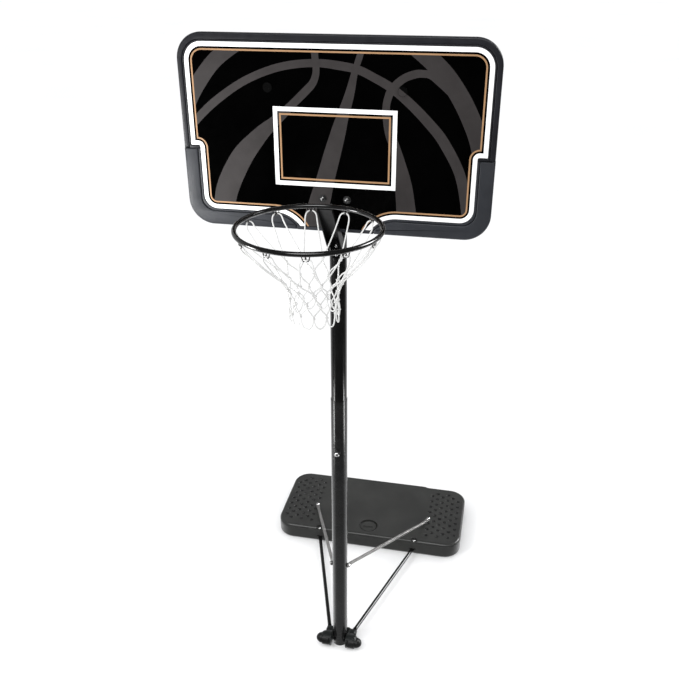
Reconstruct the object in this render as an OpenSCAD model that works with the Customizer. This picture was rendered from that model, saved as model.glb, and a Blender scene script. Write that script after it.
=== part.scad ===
// Portable basketball hoop: backboard, rim and net on a telescoping pole,
// held up by two struts and two tie rods on a fillable base tank.
// Millimetres, +Z up, the court in front of the board is towards -Y.
// The origin is on the ground, on the axis of the pole.

/* [Heights] */
// Height of the rim's centre line above the ground, with the pole fully lowered
rim_height = 2286; // [2260:1:2320]
// Travel of the telescoping pole
height_travel = 762; // [610:1:762]

/* [Backboard] */
// Width of the backboard
board_w = 1118; // [1080:1:1180]
// Height of the backboard
board_h = 678; // [650:1:720]
// Height of the rim's centre line above the bottom of the board
rim_rise = 142; // [136:1:150]
// Thickness of the printed panel
panel_t = 6; // [5:0.5:8]
// Width of the upper frame along the sides
frame_w = 26; // [22:1:30]
// Width of the upper frame along the top
frame_top_w = 29; // [24:1:34]
// Width of the lower pad
pad_w = 60; // [54:1:66]
// Height of the lower pad's arms
pad_arm_h = 283; // [250:1:310]
// Outer corner radius of the board
corner_r = 92; // [80:1:100]

/* [Rim and net] */
// Inside radius of the ring
ring_inner_r = 228.6; // [225:0.1:232]
// Diameter of the ring's rod
ring_rod_d = 16; // [15:1:18]
// Gap between the panel and the inside of the ring
board_gap = 162; // [152:1:170]
// Number of net hooks
hook_count = 12; // [8:1:12]
// Length that the net hangs below the ring's centre line
net_drop = 322; // [310:1:350]

/* [Poles] */
// Outer diameter of the lower pole
lower_pole_d = 70; // [70:1:71]
// Outer diameter of the upper pole
upper_pole_d = 66; // [65:0.5:66]
// Wall of both poles
pole_wall = 1.5; // [1.2:0.1:1.6]
// Height of the lower pole's mouth
lower_pole_top = 1400; // [1360:1:1440]
// Height of the upper pole's foot when lowered
upper_pole_foot = 250; // [230:1:280]
// Height of the lock pin
lock_height = 1150; // [1130:1:1170]
// Spacing of the lock holes, which sets the rim heights
lock_pitch = 152.4; // [150:0.1:153]

/* [Base] */
// Width of the base tank
tank_w = 1054; // [1000:1:1100]
// Depth of the base tank
tank_d = 515; // [480:1:540]
// Height of the base tank
tank_h = 92; // [92:1:100]
// Distance from the pole's axis to the tank's front wall
tank_front = 700; // [690:1:730]
// Wall of the hollow tank
tank_wall = 3.5; // [3:0.5:4]
// Corner radius of the tank in plan
tank_corner_r = 95; // [80:1:110]
// Height at which the upper struts bolt to the pole
strut_height = 495; // [470:1:520]

/* [Wheels] */
// Largest diameter of the wheels
wheel_d = 60; // [56:1:60]
// Width over the tips of both wheels
wheel_span = 224; // [220:1:230]

/* [Hidden] */
$fn = 64;

// Depths of the board, measured along Y from the pole's axis
panel_front = -54;
panel_back = panel_front + panel_t;
frame_front = panel_front - 4;
pad_front = panel_front - 6;
frame_back = -37;
web_back = -33.2;
board_z = rim_height - rim_rise;
slot_gap = 0.25;

// Ring
rod_r = ring_rod_d / 2;
ring_r = ring_inner_r + rod_r;
ring_y = panel_front - board_gap - ring_inner_r;
hook_start_angle = 12;
hook_bend_r = 6;
hook_wire_r = 2;

// Net: depth below the ring's centre line and outer radius, from the hooks to the hem
net_wall = 1.5;
net_profile = [
    [20, 224], [60, 197], [110, 163], [140, 139], [172, 108], [200, 92], [230, 86], [300, 86],
    [net_drop, 88]
];

// Poles
lower_r = lower_pole_d / 2;
lower_bore_r = lower_r - pole_wall;
upper_r = upper_pole_d / 2;
upper_bore_r = upper_r - pole_wall;
upper_pole_top = board_z + 560;
foot_plug_t = 6;
lock_pin_r = 6;
lock_hole_r = 6.6;
lock_boss_face = lower_r + 9;
lock_steps = floor(height_travel / lock_pitch + 0.01);

// Board fixings, as [distance from the centre line, height above the board's bottom]
lower_bolt_x = 45;
lower_bolt_rows = [85, 122];
upper_bolt_x = 235;
upper_bolt_row = 503;
strap_bolt_x = 52;
lower_bar_row = 103.5;
board_bolt_r = 4;
bolt_hole_r = 4.6;
strap_t = 3;

// Rim arm
arm_half_w = 28;
arm_t = 3;
arm_foot_z = rim_height - 174;
rim_plate_top_z = arm_foot_z + 14;
rim_plate_low_z = rim_height - 254;
rim_bolt_rows = [rim_height - 238, rim_height - 203];

// Tank features
tank_fillet = 14;
strut_bolt_x = 331;
strut_bolt_y = tank_front + 210;
column_r = 16;
filler_y = tank_front + 82;
recess_r = 52;
recess_floor = tank_h - 13;
neck_r = 30;
neck_low = tank_h - 32;
rod_bolt_x = 273;
rod_bolt_y = tank_front + 14;
notch_floor = tank_h - 9;
notch_r = 17;
rod_pocket_low = 20;
rod_pocket_high = 42;

// Tie rods and struts
rod_r_outer = 9.5;
rod_level = 36;
rod_foot = [58, 28];
link_t = 4;
link_w = 26;
strut_r = 8;
strut_boss_face = lower_r + 6;

// Wheel carriage
axle_y = -30;
axle_z = wheel_d / 2 + 2;
axle_r = 5;
wheel_r = wheel_d / 2;
wheel_tip = wheel_span / 2;
hood_r = wheel_r + 8;
hood_bore_r = wheel_r + 3;
cheek_x = lower_r + 0.8;
cheek_t = 8;
hood_end_x = 86;
carriage_back = 46;

// ---------- shared shapes ----------

// Flat rectangle with one radius at its lower corners and another at its upper ones
module round_rect(x0, z0, x1, z1, low_r, high_r) {
    translate([x0 + low_r, z0]) square([x1 - x0 - 2 * low_r, low_r]);
    translate([x0, z0 + low_r]) square([x1 - x0, z1 - z0 - low_r - high_r]);
    translate([x0 + high_r, z1 - high_r]) square([x1 - x0 - 2 * high_r, high_r]);
    for (x = [x0 + low_r, x1 - low_r]) translate([x, z0 + low_r]) circle(low_r);
    for (x = [x0 + high_r, x1 - high_r]) translate([x, z1 - high_r]) circle(high_r);
}

// Stands a flat shape, drawn in X and Z, up between two depths along Y
module upright(front, back) {
    translate([0, back, board_z]) rotate([90, 0, 0]) linear_extrude(back - front) children();
}

// Puts a flat shape, drawn in Y and Z, between two places along X
module crosswise(x0, x1) {
    translate([x0, 0, 0]) rotate([90, 0, 90]) linear_extrude(x1 - x0) children();
}

// Round rod along Y from front to back
module rod_y(x, z, r, front, back) {
    translate([x, back, z]) rotate([90, 0, 0]) cylinder(r = r, h = back - front);
}

// Straight round tube between two points, closed for some way from its flattened ends
module tube_between(a, b, r, wall) {
    closed = 40;
    d = b - a;
    len = norm(d);
    translate(a) rotate([0, acos(d[2] / len), atan2(d[1], d[0])]) difference() {
        cylinder(r = r, h = len);
        translate([0, 0, closed]) cylinder(r = r - wall, h = len - 2 * closed);
    }
}

// Flat bar between two points of the drawing plane, with round ends a little wider than the bar
module flat_link(a, b, w) {
    bar_w = w - 0.2;
    d = b - a;
    translate(a) circle(w / 2);
    translate(b) circle(w / 2);
    translate(a) rotate(atan2(d[1], d[0])) translate([0, -bar_w / 2]) square([norm(d), bar_w]);
}

// Domed bolt head standing on the XY plane
module dome(r, h) {
    sphere_r = (r * r + h * h) / (2 * h);
    rotate_extrude() intersection() {
        translate([0, h - sphere_r]) circle(sphere_r);
        square([r, h]);
    }
}

// Domed bolt: the head above z = 0, the shank below it, and a hexagon nut near its end
module domed_bolt(head_r, head_h, shank_r, shank_len, nut_r, nut_h, nut_from_end) {
    dome(head_r, head_h);
    translate([0, 0, -shank_len]) cylinder(r = shank_r, h = shank_len + 0.5);
    translate([0, 0, nut_from_end - shank_len]) cylinder(r = nut_r, h = nut_h, $fn = 6);
}

// Mirrors its children to the other side of the centre line as well
module both_sides() {
    children();
    mirror([1, 0, 0]) children();
}

// ---------- base tank ----------

// Upright disc with rounded edges, used at the corners of the tank
module tank_disc(r, h, fillet) {
    rotate_extrude($fn = 48) {
        square([r - fillet, h]);
        translate([0, fillet]) square([r, h - 2 * fillet]);
        for (z = [fillet, h - fillet]) translate([r - fillet, z]) circle(fillet, $fn = 24);
    }
}

// Rounded slab of the tank, shrunk by inset on every side
module tank_slab(inset) {
    r = tank_corner_r - inset;
    h = tank_h - 2 * inset;
    translate([0, 0, inset]) hull() {
        for (x = [-1, 1], y = [tank_front + tank_corner_r, tank_front + tank_d - tank_corner_r])
            translate([x * (tank_w / 2 - tank_corner_r), y, 0]) tank_disc(r, h, tank_fillet - inset);
    }
}

// Shallow bulge along the middle of the rear wall
module tank_rear_bulge() {
    bulge_r = 30;
    hull() for (x = [-1, 1])
        translate([x * (285 - bulge_r), tank_front + tank_d + 8 - bulge_r, 0])
            tank_disc(bulge_r, tank_h, tank_fillet);
}

// Solid places left inside the hollow: bolt columns, rod blocks and the filler recess
module tank_cores() {
    both_sides() {
        translate([strut_bolt_x, strut_bolt_y, 0]) cylinder(r = column_r, h = tank_h);
        translate([rod_bolt_x - 32, tank_front - 1, 0]) cube([64, 43, tank_h]);
    }
    translate([0, filler_y, recess_floor - tank_wall]) cylinder(r = recess_r + 3.5, h = tank_h);
    translate([0, filler_y, neck_low]) cylinder(r = neck_r + 3, h = tank_h);
}

module tank() {
    color([0.22, 0.22, 0.23]) difference() {
        union() {
            tank_slab(0);
            tank_rear_bulge();
        }
        difference() {
            tank_slab(tank_wall);
            tank_cores();
        }
        translate([0, filler_y, recess_floor]) cylinder(r = recess_r, h = tank_h);
        translate([0, filler_y, neck_low - 1]) cylinder(r = neck_r, h = tank_h);
        both_sides() {
            translate([strut_bolt_x, strut_bolt_y, -1]) cylinder(r = 5.4, h = tank_h + 2);
            translate([strut_bolt_x, strut_bolt_y, -1]) cylinder(r = 12, h = 13);
            translate([rod_bolt_x, rod_bolt_y, notch_floor]) cylinder(r = notch_r, h = tank_h);
            translate([rod_bolt_x - notch_r, tank_front - 20, notch_floor])
                cube([2 * notch_r, rod_bolt_y - tank_front + 20, tank_h]);
            translate([rod_bolt_x, rod_bolt_y, rod_pocket_low]) cylinder(r = 4.4, h = tank_h);
            translate([rod_bolt_x - 22, tank_front - 20, rod_pocket_low])
                cube([42, 54, rod_pocket_high - rod_pocket_low]);
        }
    }
}

module filler_gasket() {
    color([0.10, 0.10, 0.10]) translate([0, filler_y, recess_floor + 0.3]) difference() {
        cylinder(r = 40, h = 2);
        translate([0, 0, -1]) cylinder(r = neck_r + 1, h = 4);
    }
}

module filler_cap() {
    seat = recess_floor + 2.6;
    color([0.20, 0.20, 0.21]) translate([0, filler_y, seat]) {
        cylinder(r = 43, h = 5);
        translate([0, 0, -16]) cylinder(r = neck_r - 1, h = 17);
        for (a = [0 : 30 : 330]) rotate(a) translate([43, 0, 0]) cylinder(r = 3, h = 5);
        translate([-30, -5, 4]) cube([60, 10, 6]);
    }
}

// ---------- poles ----------

module lower_pole() {
    color([0.08, 0.08, 0.085]) difference() {
        union() {
            translate([0, 0, foot_plug_t]) cylinder(r = lower_r, h = lower_pole_top - foot_plug_t);
            translate([-strut_boss_face, 0, strut_height]) rotate([0, 90, 0])
                cylinder(r = 10, h = 2 * strut_boss_face);
            rod_y(0, lock_height, 12, -lock_boss_face, 0);
        }
        cylinder(r = lower_bore_r, h = lower_pole_top + 1);
        rod_y(0, lock_height, lock_pin_r + 0.06, -lock_boss_face - 1, 0);
        for (x = [-strut_boss_face - 1, 36]) translate([x, 0, strut_height]) rotate([0, 90, 0])
            cylinder(r = 4.1, h = strut_boss_face + 1 - 36);
        rod_y(0, 24, 3.3, 0, lower_r + 1);
    }
}

module foot_plug() {
    color([0.12, 0.12, 0.12]) difference() {
        union() {
            cylinder(r = lower_r, h = foot_plug_t);
            cylinder(r = lower_bore_r - 0.1, h = 40);
        }
        translate([0, 0, foot_plug_t]) cylinder(r = lower_bore_r - 5, h = 40);
        rod_y(0, 24, 3.3, 0, lower_r + 1);
    }
}

module upper_pole() {
    color([0.04, 0.04, 0.045]) difference() {
        translate([0, 0, upper_pole_foot]) cylinder(r = upper_r, h = upper_pole_top - upper_pole_foot);
        translate([0, 0, upper_pole_foot - 1]) cylinder(r = upper_bore_r, h = upper_pole_top);
        for (i = [0 : lock_steps]) rod_y(0, lock_height - i * lock_pitch, lock_hole_r, -upper_r - 1, 0);
        for (z = rim_bolt_rows) rod_y(0, z, 4.3, -upper_r - 1, 0);
    }
}

module pole_cap() {
    color([0.05, 0.05, 0.05]) translate([0, 0, upper_pole_top]) {
        cylinder(r = upper_r + 1.5, h = 6);
        translate([0, 0, -20]) cylinder(r = upper_bore_r - 0.1, h = 21);
    }
}

module lock_pin() {
    head_y = -lock_boss_face - 8;
    color([0.80, 0.80, 0.82]) {
        rod_y(0, lock_height, lock_pin_r, head_y, -upper_r - 0.7);
        translate([0, head_y, lock_height]) rotate([90, 0, 0]) dome(11, 7);
    }
}

// ---------- wheel carriage ----------

// Cuts that leave a hood open at the front and the bottom
module hood_cuts() {
    translate([axle_y - 60, -30]) square([60, 86]);
    translate([axle_y - 60, -30]) square([160, 40]);
}

module hood_half() {
    crosswise(cheek_x + cheek_t - 1, hood_end_x) difference() {
        translate([axle_y, axle_z]) circle(hood_r);
        translate([axle_y, axle_z]) circle(hood_bore_r);
        hood_cuts();
    }
    crosswise(hood_end_x - 4, hood_end_x) difference() {
        translate([axle_y, axle_z]) circle(hood_r);
        translate([axle_y, axle_z]) circle(wheel_r - 3);
        hood_cuts();
    }
}

module carriage_cheek() {
    crosswise(cheek_x, cheek_x + cheek_t) difference() {
        union() {
            translate([axle_y, axle_z]) circle(hood_r);
            translate([axle_y, 3]) square([carriage_back - axle_y, 53]);
        }
        translate([axle_y - 60, -30]) square([200, 33]);
        translate([axle_y, axle_z]) circle(axle_r);
    }
}

module wheel_carriage() {
    color([0.10, 0.10, 0.105]) {
        both_sides() {
            carriage_cheek();
            hood_half();
            difference() {
                translate([cheek_x + cheek_t - 1, 6, 26]) cube([32, 38, rod_level - link_t / 2 - 26]);
                translate([rod_foot[0], rod_foot[1], 0]) cylinder(r = 4.4, h = 60);
            }
        }
        difference() {
            translate([-cheek_x - 1, carriage_back - 10, 3]) cube([2 * cheek_x + 2, 10, 53]);
            rod_y(0, 24, 3.3, 0, carriage_back + 1);
        }
    }
}

module carriage_screw() {
    color([0.75, 0.75, 0.77]) {
        rod_y(0, 24, 3, 29, carriage_back);
        translate([0, carriage_back, 24]) rotate([-90, 0, 0]) dome(7, 4);
    }
}

module wheel_axles() {
    color([0.60, 0.60, 0.62]) both_sides()
        translate([cheek_x, axle_y, axle_z]) rotate([0, 90, 0]) cylinder(r = axle_r, h = 62);
}

// Wheel with a straight tread and a rounded outer end that closes over its axle
module wheel() {
    inner = cheek_x + cheek_t + 2;
    color([0.07, 0.07, 0.07]) translate([0, axle_y, axle_z]) rotate([0, 90, 0]) rotate_extrude()
        difference() {
            polygon([
                [0, inner], [wheel_r - 2, inner], [wheel_r, inner + 2], [wheel_r, 79],
                [wheel_r - 4.5, 81], [wheel_r - 5.5, 92], [20, 102], [13, 109],
                [6, wheel_tip], [0, wheel_tip]
            ]);
            translate([-1, inner - 1]) square([axle_r + 1.06, 100 - inner]);
        }
}

module right_wheel() {
    wheel();
}

module left_wheel() {
    mirror([1, 0, 0]) wheel();
}

// ---------- tie rods and struts ----------

module right_tie_rod() {
    tank_end = [rod_bolt_x, rod_bolt_y];
    along = (tank_end - rod_foot) / norm(tank_end - rod_foot);
    tube_foot = rod_foot + 24 * along;
    tube_head = tank_end - 32 * along;
    color([0.04, 0.04, 0.04]) {
        tube_between([tube_foot[0], tube_foot[1], rod_level], [tube_head[0], tube_head[1], rod_level],
            rod_r_outer, 1.5);
        translate([0, 0, rod_level - link_t / 2]) linear_extrude(link_t) difference() {
            union() {
                flat_link(rod_foot, tube_foot + 6 * along, link_w);
                flat_link(tube_head - 6 * along, tank_end, link_w);
            }
            translate(rod_foot) circle(4.4);
            translate(tank_end) circle(4.4);
        }
    }
}

module left_tie_rod() {
    mirror([1, 0, 0]) right_tie_rod();
}

module right_strut() {
    pole_end = [0, strut_height];
    pole_bend = [27, strut_height - 13];
    tank_end = [strut_bolt_x, strut_bolt_y];
    tank_bend = [strut_bolt_x - 12, strut_bolt_y - 35];
    plate_x = strut_boss_face + 0.2;
    color([0.52, 0.52, 0.53]) {
        crosswise(plate_x, plate_x + link_t) difference() {
            flat_link(pole_end, pole_bend, 22);
            translate(pole_end) circle(4.4);
        }
        translate([0, 0, tank_h + 0.2]) linear_extrude(link_t) difference() {
            flat_link(tank_end, tank_bend, 22);
            translate(tank_end) circle(5.4);
        }
        tube_between([plate_x + 5, pole_bend[0] - 2, pole_bend[1] + 1],
            [tank_bend[0], tank_bend[1], tank_h + 9], strut_r, 1.5);
    }
}

module left_strut() {
    mirror([1, 0, 0]) right_strut();
}

module strut_pole_bolts() {
    head_x = strut_boss_face + 0.2 + link_t;
    color([0.82, 0.82, 0.84]) both_sides()
        translate([head_x, 0, strut_height]) rotate([0, 90, 0]) {
            dome(9, 6);
            translate([0, 0, 37 - head_x]) cylinder(r = 4, h = head_x - 36.5);
        }
}

module strut_tank_bolts() {
    head_z = tank_h + 0.2 + link_t;
    color([0.82, 0.82, 0.84]) both_sides()
        translate([strut_bolt_x, strut_bolt_y, head_z])
            domed_bolt(10, 7, 5, head_z - 3, 9, 7, 1);
}

module tie_rod_tank_bolts() {
    color([0.70, 0.70, 0.72]) both_sides()
        translate([rod_bolt_x, rod_bolt_y, notch_floor])
            domed_bolt(8, 5, 4, notch_floor - 24, 7.5, 6, rod_level - link_t / 2 - 6 - 24);
}

module tie_rod_foot_bolts() {
    head_z = rod_level + link_t / 2;
    color([0.70, 0.70, 0.72]) both_sides()
        translate([rod_foot[0], rod_foot[1], head_z]) domed_bolt(8, 5, 4, head_z - 16, 7.5, 6, 4);
}

// ---------- backboard ----------

// Outline of the whole board, shrunk by inset on every side
module board_outline(inset) {
    half = board_w / 2 - inset;
    round_rect(-half, inset, half, board_h - inset, corner_r - inset, corner_r - inset);
}

// Opening that the upper frame leaves, and the narrower one between the pad's arms
module frame_opening(grow) {
    half = board_w / 2 - frame_w + grow;
    top = board_h - frame_top_w + grow;
    inner_r = corner_r - frame_w + grow;
    round_rect(-half, pad_arm_h + 10 - grow, half, top, 2, inner_r);
}

module pad_opening(grow) {
    half = board_w / 2 - pad_w + grow;
    dip = 228;
    dip_r = 120;
    round_rect(-half, pad_w - grow, half, board_h - 2 * corner_r, 50, 2);
    difference() {
        translate([-dip, 12 - grow]) square([2 * dip, pad_w]);
        for (x = [-dip, dip]) translate([x, pad_w - dip_r]) circle(dip_r - grow);
    }
}

module frame_shape(inset) {
    difference() {
        intersection() {
            board_outline(inset + 1);
            translate([-board_w, pad_arm_h + 1]) square([2 * board_w, board_h]);
        }
        frame_opening(inset);
        pad_opening(inset);
    }
}

module pad_shape(inset) {
    difference() {
        intersection() {
            board_outline(inset);
            translate([-board_w, 0]) square([2 * board_w, pad_arm_h - 1 - inset]);
        }
        pad_opening(inset);
    }
}

// Slot that takes the edge of the panel
module panel_slot() {
    upright(panel_front - slot_gap, panel_back + slot_gap) board_outline(11.5);
}

module board_panel() {
    color([0.02, 0.02, 0.02]) difference() {
        upright(panel_front, panel_back) board_outline(12);
        for (x = [-lower_bolt_x, lower_bolt_x], z = lower_bolt_rows)
            rod_y(x, board_z + z, bolt_hole_r, panel_front - 1, panel_back + 1);
        for (x = [-upper_bolt_x, upper_bolt_x])
            rod_y(x, board_z + upper_bolt_row, bolt_hole_r, panel_front - 1, panel_back + 1);
    }
}

module board_frame() {
    color([0.16, 0.16, 0.17]) difference() {
        union() {
            upright(frame_front + 3, frame_back) frame_shape(0);
            upright(frame_front + 1, frame_front + 3) frame_shape(1);
            upright(frame_front, frame_front + 1) frame_shape(3);
        }
        panel_slot();
    }
}

module lower_pad() {
    color([0.15, 0.15, 0.16]) difference() {
        union() {
            upright(pad_front + 4, frame_back) pad_shape(0);
            upright(pad_front + 1.5, pad_front + 4) pad_shape(1.5);
            upright(pad_front, pad_front + 1.5) pad_shape(5);
        }
        panel_slot();
    }
}

// Steel channel across the back of the panel, open towards the panel
module crossbar(half_w, row, tall, bolt_x, bolt_rows) {
    low = board_z + row - tall / 2;
    color([0.07, 0.07, 0.07]) difference() {
        translate([-half_w, panel_back + 0.1, low]) cube([2 * half_w, web_back - panel_back - 0.1, tall]);
        translate([-half_w - 1, panel_back - 1, low + 2])
            cube([2 * half_w + 2, web_back - panel_back - 1, tall - 4]);
        for (x = [-bolt_x, bolt_x], z = bolt_rows)
            rod_y(x, board_z + z, bolt_hole_r, panel_back, 0);
        for (x = [-strap_bolt_x, strap_bolt_x]) rod_y(x, board_z + row, bolt_hole_r, panel_back, 0);
    }
}

module upper_crossbar() {
    crossbar(262, upper_bolt_row, 40, upper_bolt_x, [upper_bolt_row]);
}

module lower_crossbar() {
    crossbar(72, lower_bar_row, 64, lower_bolt_x, lower_bolt_rows);
}

// Strap that holds the pole against a crossbar
module pole_strap(row) {
    bore = upper_r + 0.2;
    color([0.07, 0.07, 0.07]) difference() {
        translate([0, 0, board_z + row - 10]) linear_extrude(20) {
            difference() {
                union() {
                    circle(bore + strap_t);
                    translate([-bore - strap_t, web_back + 0.1]) square([2 * (bore + strap_t), -web_back]);
                    translate([-64, web_back + 0.1]) square([128, strap_t]);
                }
                circle(bore);
                translate([-bore, -bore - 10]) square([2 * bore, bore + 10]);
            }
        }
        for (x = [-strap_bolt_x, strap_bolt_x]) rod_y(x, board_z + row, bolt_hole_r, -60, 0);
    }
}

module upper_pole_strap() {
    pole_strap(upper_bolt_row);
}

module lower_pole_strap() {
    pole_strap(lower_bar_row);
}

module strap_bolts() {
    nut_y = web_back + 0.1 + strap_t;
    color([0.55, 0.55, 0.57])
        for (x = [-strap_bolt_x, strap_bolt_x], row = [lower_bar_row, upper_bolt_row])
            translate([x, nut_y, board_z + row]) rotate([-90, 0, 0]) {
                cylinder(r = 8, h = 6, $fn = 6);
                translate([0, 0, -10]) cylinder(r = board_bolt_r, h = 14);
            }
}

module board_bolts() {
    washer_t = 2;
    color([0.80, 0.80, 0.82])
        for (x = [-lower_bolt_x, lower_bolt_x], z = lower_bolt_rows)
            translate([x, panel_front - washer_t, board_z + z]) rotate([90, 0, 0])
                domed_bolt(10, 8, board_bolt_r, 34, 7.5, 6, 3);
}

module board_bolt_washers() {
    color([0.05, 0.05, 0.05])
        for (x = [-lower_bolt_x, lower_bolt_x], z = lower_bolt_rows)
            translate([x, panel_front, board_z + z]) rotate([90, 0, 0]) difference() {
                cylinder(r = 14, h = 2);
                translate([0, 0, -1]) cylinder(r = bolt_hole_r, h = 4);
            }
}

module upper_board_bolts() {
    color([0.70, 0.70, 0.72])
        for (x = [-upper_bolt_x, upper_bolt_x])
            translate([x, panel_front, board_z + upper_bolt_row]) rotate([90, 0, 0])
                domed_bolt(9, 2, board_bolt_r, 32, 7.5, 6, 3);
}

module hole_plugs() {
    color([0.03, 0.03, 0.03])
        for (x = [-upper_bolt_x, upper_bolt_x])
            translate([x, panel_front, board_z + upper_bolt_row]) rotate([90, 0, 0]) difference() {
                cylinder(r = 16.5, h = 3.5);
                translate([0, 0, -1]) cylinder(r = 10.5, h = 3.5);
            }
}

// ---------- rim ----------

module ring_torus(r) {
    translate([0, ring_y, rim_height]) rotate_extrude($fn = 128) translate([ring_r, 0]) circle(r, $fn = 48);
}

module rim_ring() {
    color([0.03, 0.03, 0.03]) ring_torus(rod_r);
}

// Steel channel that carries the ring: a sloping top plate and two tapered sides
module rim_arm() {
    ring_back = ring_y + ring_r;
    top_z = rim_height - 7;
    wall_y = web_back - arm_t;
    color([0.03, 0.03, 0.03]) difference() {
        union() {
            crosswise(-arm_half_w, arm_half_w) polygon([
                [wall_y, arm_foot_z], [wall_y, arm_foot_z - arm_t - 1],
                [ring_back - 4, top_z - arm_t - 1], [ring_back - 4, top_z]
            ]);
            both_sides() crosswise(arm_half_w - arm_t, arm_half_w) polygon([
                [wall_y, arm_foot_z], [wall_y, arm_foot_z - 66],
                [ring_back - 4, top_z - 16], [ring_back - 4, top_z]
            ]);
        }
        ring_torus(rod_r + 0.15);
    }
}

// Mounting plate on the front of the pole, tapered towards its foot
module rim_plate() {
    tip_w = 12;
    color([0.05, 0.05, 0.05]) difference() {
        translate([0, web_back, 0]) rotate([90, 0, 0]) linear_extrude(arm_t) polygon([
            [-arm_half_w, rim_plate_top_z], [arm_half_w, rim_plate_top_z],
            [arm_half_w, rim_bolt_rows[1] + 5], [tip_w, rim_plate_low_z],
            [-tip_w, rim_plate_low_z], [-arm_half_w, rim_bolt_rows[1] + 5]
        ]);
        for (z = rim_bolt_rows) rod_y(0, z, 4.4, -60, 0);
    }
}

module rim_bolts() {
    color([0.80, 0.80, 0.82]) for (z = rim_bolt_rows)
        translate([0, web_back - arm_t, z]) rotate([90, 0, 0]) domed_bolt(8, 6, 4, 18, 7, 6, 2);
}

// Wire hook shaped like a W under the ring, with its middle against the rod
module net_hook() {
    for (x = [-hook_bend_r, hook_bend_r]) translate([x, 0, 0]) rotate([-90, 0, 0])
        rotate_extrude(angle = 180) translate([hook_bend_r, 0]) circle(hook_wire_r, $fn = 24);
}

module net_hooks() {
    color([0.05, 0.05, 0.05]) for (i = [0 : hook_count - 1]) {
        a = hook_start_angle + i * 360 / hook_count;
        translate([ring_r * cos(a), ring_y + ring_r * sin(a), rim_height - rod_r - 0.2])
            rotate(a + 90) net_hook();
    }
}

// Envelope of the hanging cord net, open at the top and the bottom
module net() {
    outer = [for (p = net_profile) [p[1], -p[0]]];
    inner = [for (i = [len(outer) - 1 : -1 : 0]) outer[i] - [net_wall, 0]];
    color([0.93, 0.93, 0.92]) translate([0, ring_y, rim_height])
        rotate_extrude($fn = 96) polygon(concat(outer, inner));
}

// ---------- selection ----------

tank();
filler_gasket();
filler_cap();
lower_pole();
foot_plug();
wheel_carriage();
wheel_axles();
left_wheel();
right_wheel();
carriage_screw();
left_tie_rod();
right_tie_rod();
tie_rod_foot_bolts();
tie_rod_tank_bolts();
left_strut();
right_strut();
strut_pole_bolts();
strut_tank_bolts();
lock_pin();
upper_pole();
pole_cap();
board_panel();
board_frame();
lower_pad();
upper_crossbar();
lower_crossbar();
upper_pole_strap();
lower_pole_strap();
strap_bolts();
board_bolts();
board_bolt_washers();
upper_board_bolts();
hole_plugs();
rim_ring();
rim_arm();
rim_plate();
rim_bolts();
net_hooks();
net();
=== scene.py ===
"""Looks of a portable basketball hoop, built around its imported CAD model.

Metres, +Z up, the court towards -Y, the origin on the ground at the pole's axis.
"""
import math
import random

import bmesh
import bpy
from mathutils import Matrix, Vector


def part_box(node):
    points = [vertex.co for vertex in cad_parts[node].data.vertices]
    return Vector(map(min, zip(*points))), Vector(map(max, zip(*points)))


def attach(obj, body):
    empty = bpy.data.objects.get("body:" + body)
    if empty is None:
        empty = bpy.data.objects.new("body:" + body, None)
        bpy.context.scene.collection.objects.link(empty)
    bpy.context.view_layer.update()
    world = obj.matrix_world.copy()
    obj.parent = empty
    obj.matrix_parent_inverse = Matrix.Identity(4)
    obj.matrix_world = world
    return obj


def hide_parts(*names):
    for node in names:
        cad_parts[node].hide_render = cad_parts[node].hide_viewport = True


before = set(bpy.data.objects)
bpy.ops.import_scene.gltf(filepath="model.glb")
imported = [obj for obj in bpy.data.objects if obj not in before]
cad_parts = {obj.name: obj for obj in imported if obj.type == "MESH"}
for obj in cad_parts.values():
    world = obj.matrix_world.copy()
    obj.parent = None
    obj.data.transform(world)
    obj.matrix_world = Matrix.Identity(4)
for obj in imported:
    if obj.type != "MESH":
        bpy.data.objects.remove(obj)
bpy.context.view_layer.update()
MM = 0.001
UP = Vector((0, 0, 1))
RIGHT = Vector((1, 0, 0))


def linked(name, data):
    """New object in the scene."""
    obj = bpy.data.objects.new(name, data)
    bpy.context.scene.collection.objects.link(obj)
    return obj


# ---------- camera ----------

CAMERA_PLACE = (0.6136, -2.8228, 3.1166)
# Yaw, downward pitch and roll, in degrees
CAMERA_TURN = (-12.232, 27.852, -0.280)
CAMERA_LENS = 42.666
CAMERA_SHIFT = (0.0004, 0.0270)


def make_camera():
    """Camera in front of the hoop, a little to its right, looking down at it."""
    yaw, pitch, roll = (math.radians(a) for a in CAMERA_TURN)
    forward = Vector((
        math.sin(yaw) * math.cos(pitch), math.cos(yaw) * math.cos(pitch), -math.sin(pitch)
    ))
    level_right = Vector((math.cos(yaw), -math.sin(yaw), 0))
    level_up = level_right.cross(forward)
    right = level_right * math.cos(roll) + level_up * math.sin(roll)
    up = level_up * math.cos(roll) - level_right * math.sin(roll)
    data = bpy.data.cameras.new("camera")
    data.sensor_width = 36
    data.lens = CAMERA_LENS
    data.shift_x, data.shift_y = CAMERA_SHIFT
    camera = linked("camera", data)
    turn = Matrix((right, up, -forward)).transposed().to_4x4()
    camera.matrix_world = Matrix.Translation(CAMERA_PLACE) @ turn
    bpy.context.scene.camera = camera


make_camera()


# ---------- mesh helpers ----------

def mesh_object(name, verts, faces, sharp=35.0):
    """Object from points and faces, shaded smooth except where faces meet at over sharp degrees."""
    mesh = bpy.data.meshes.new(name)
    mesh.from_pydata([tuple(v) for v in verts], [], faces)
    return finish_mesh(name, mesh, sharp)


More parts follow.
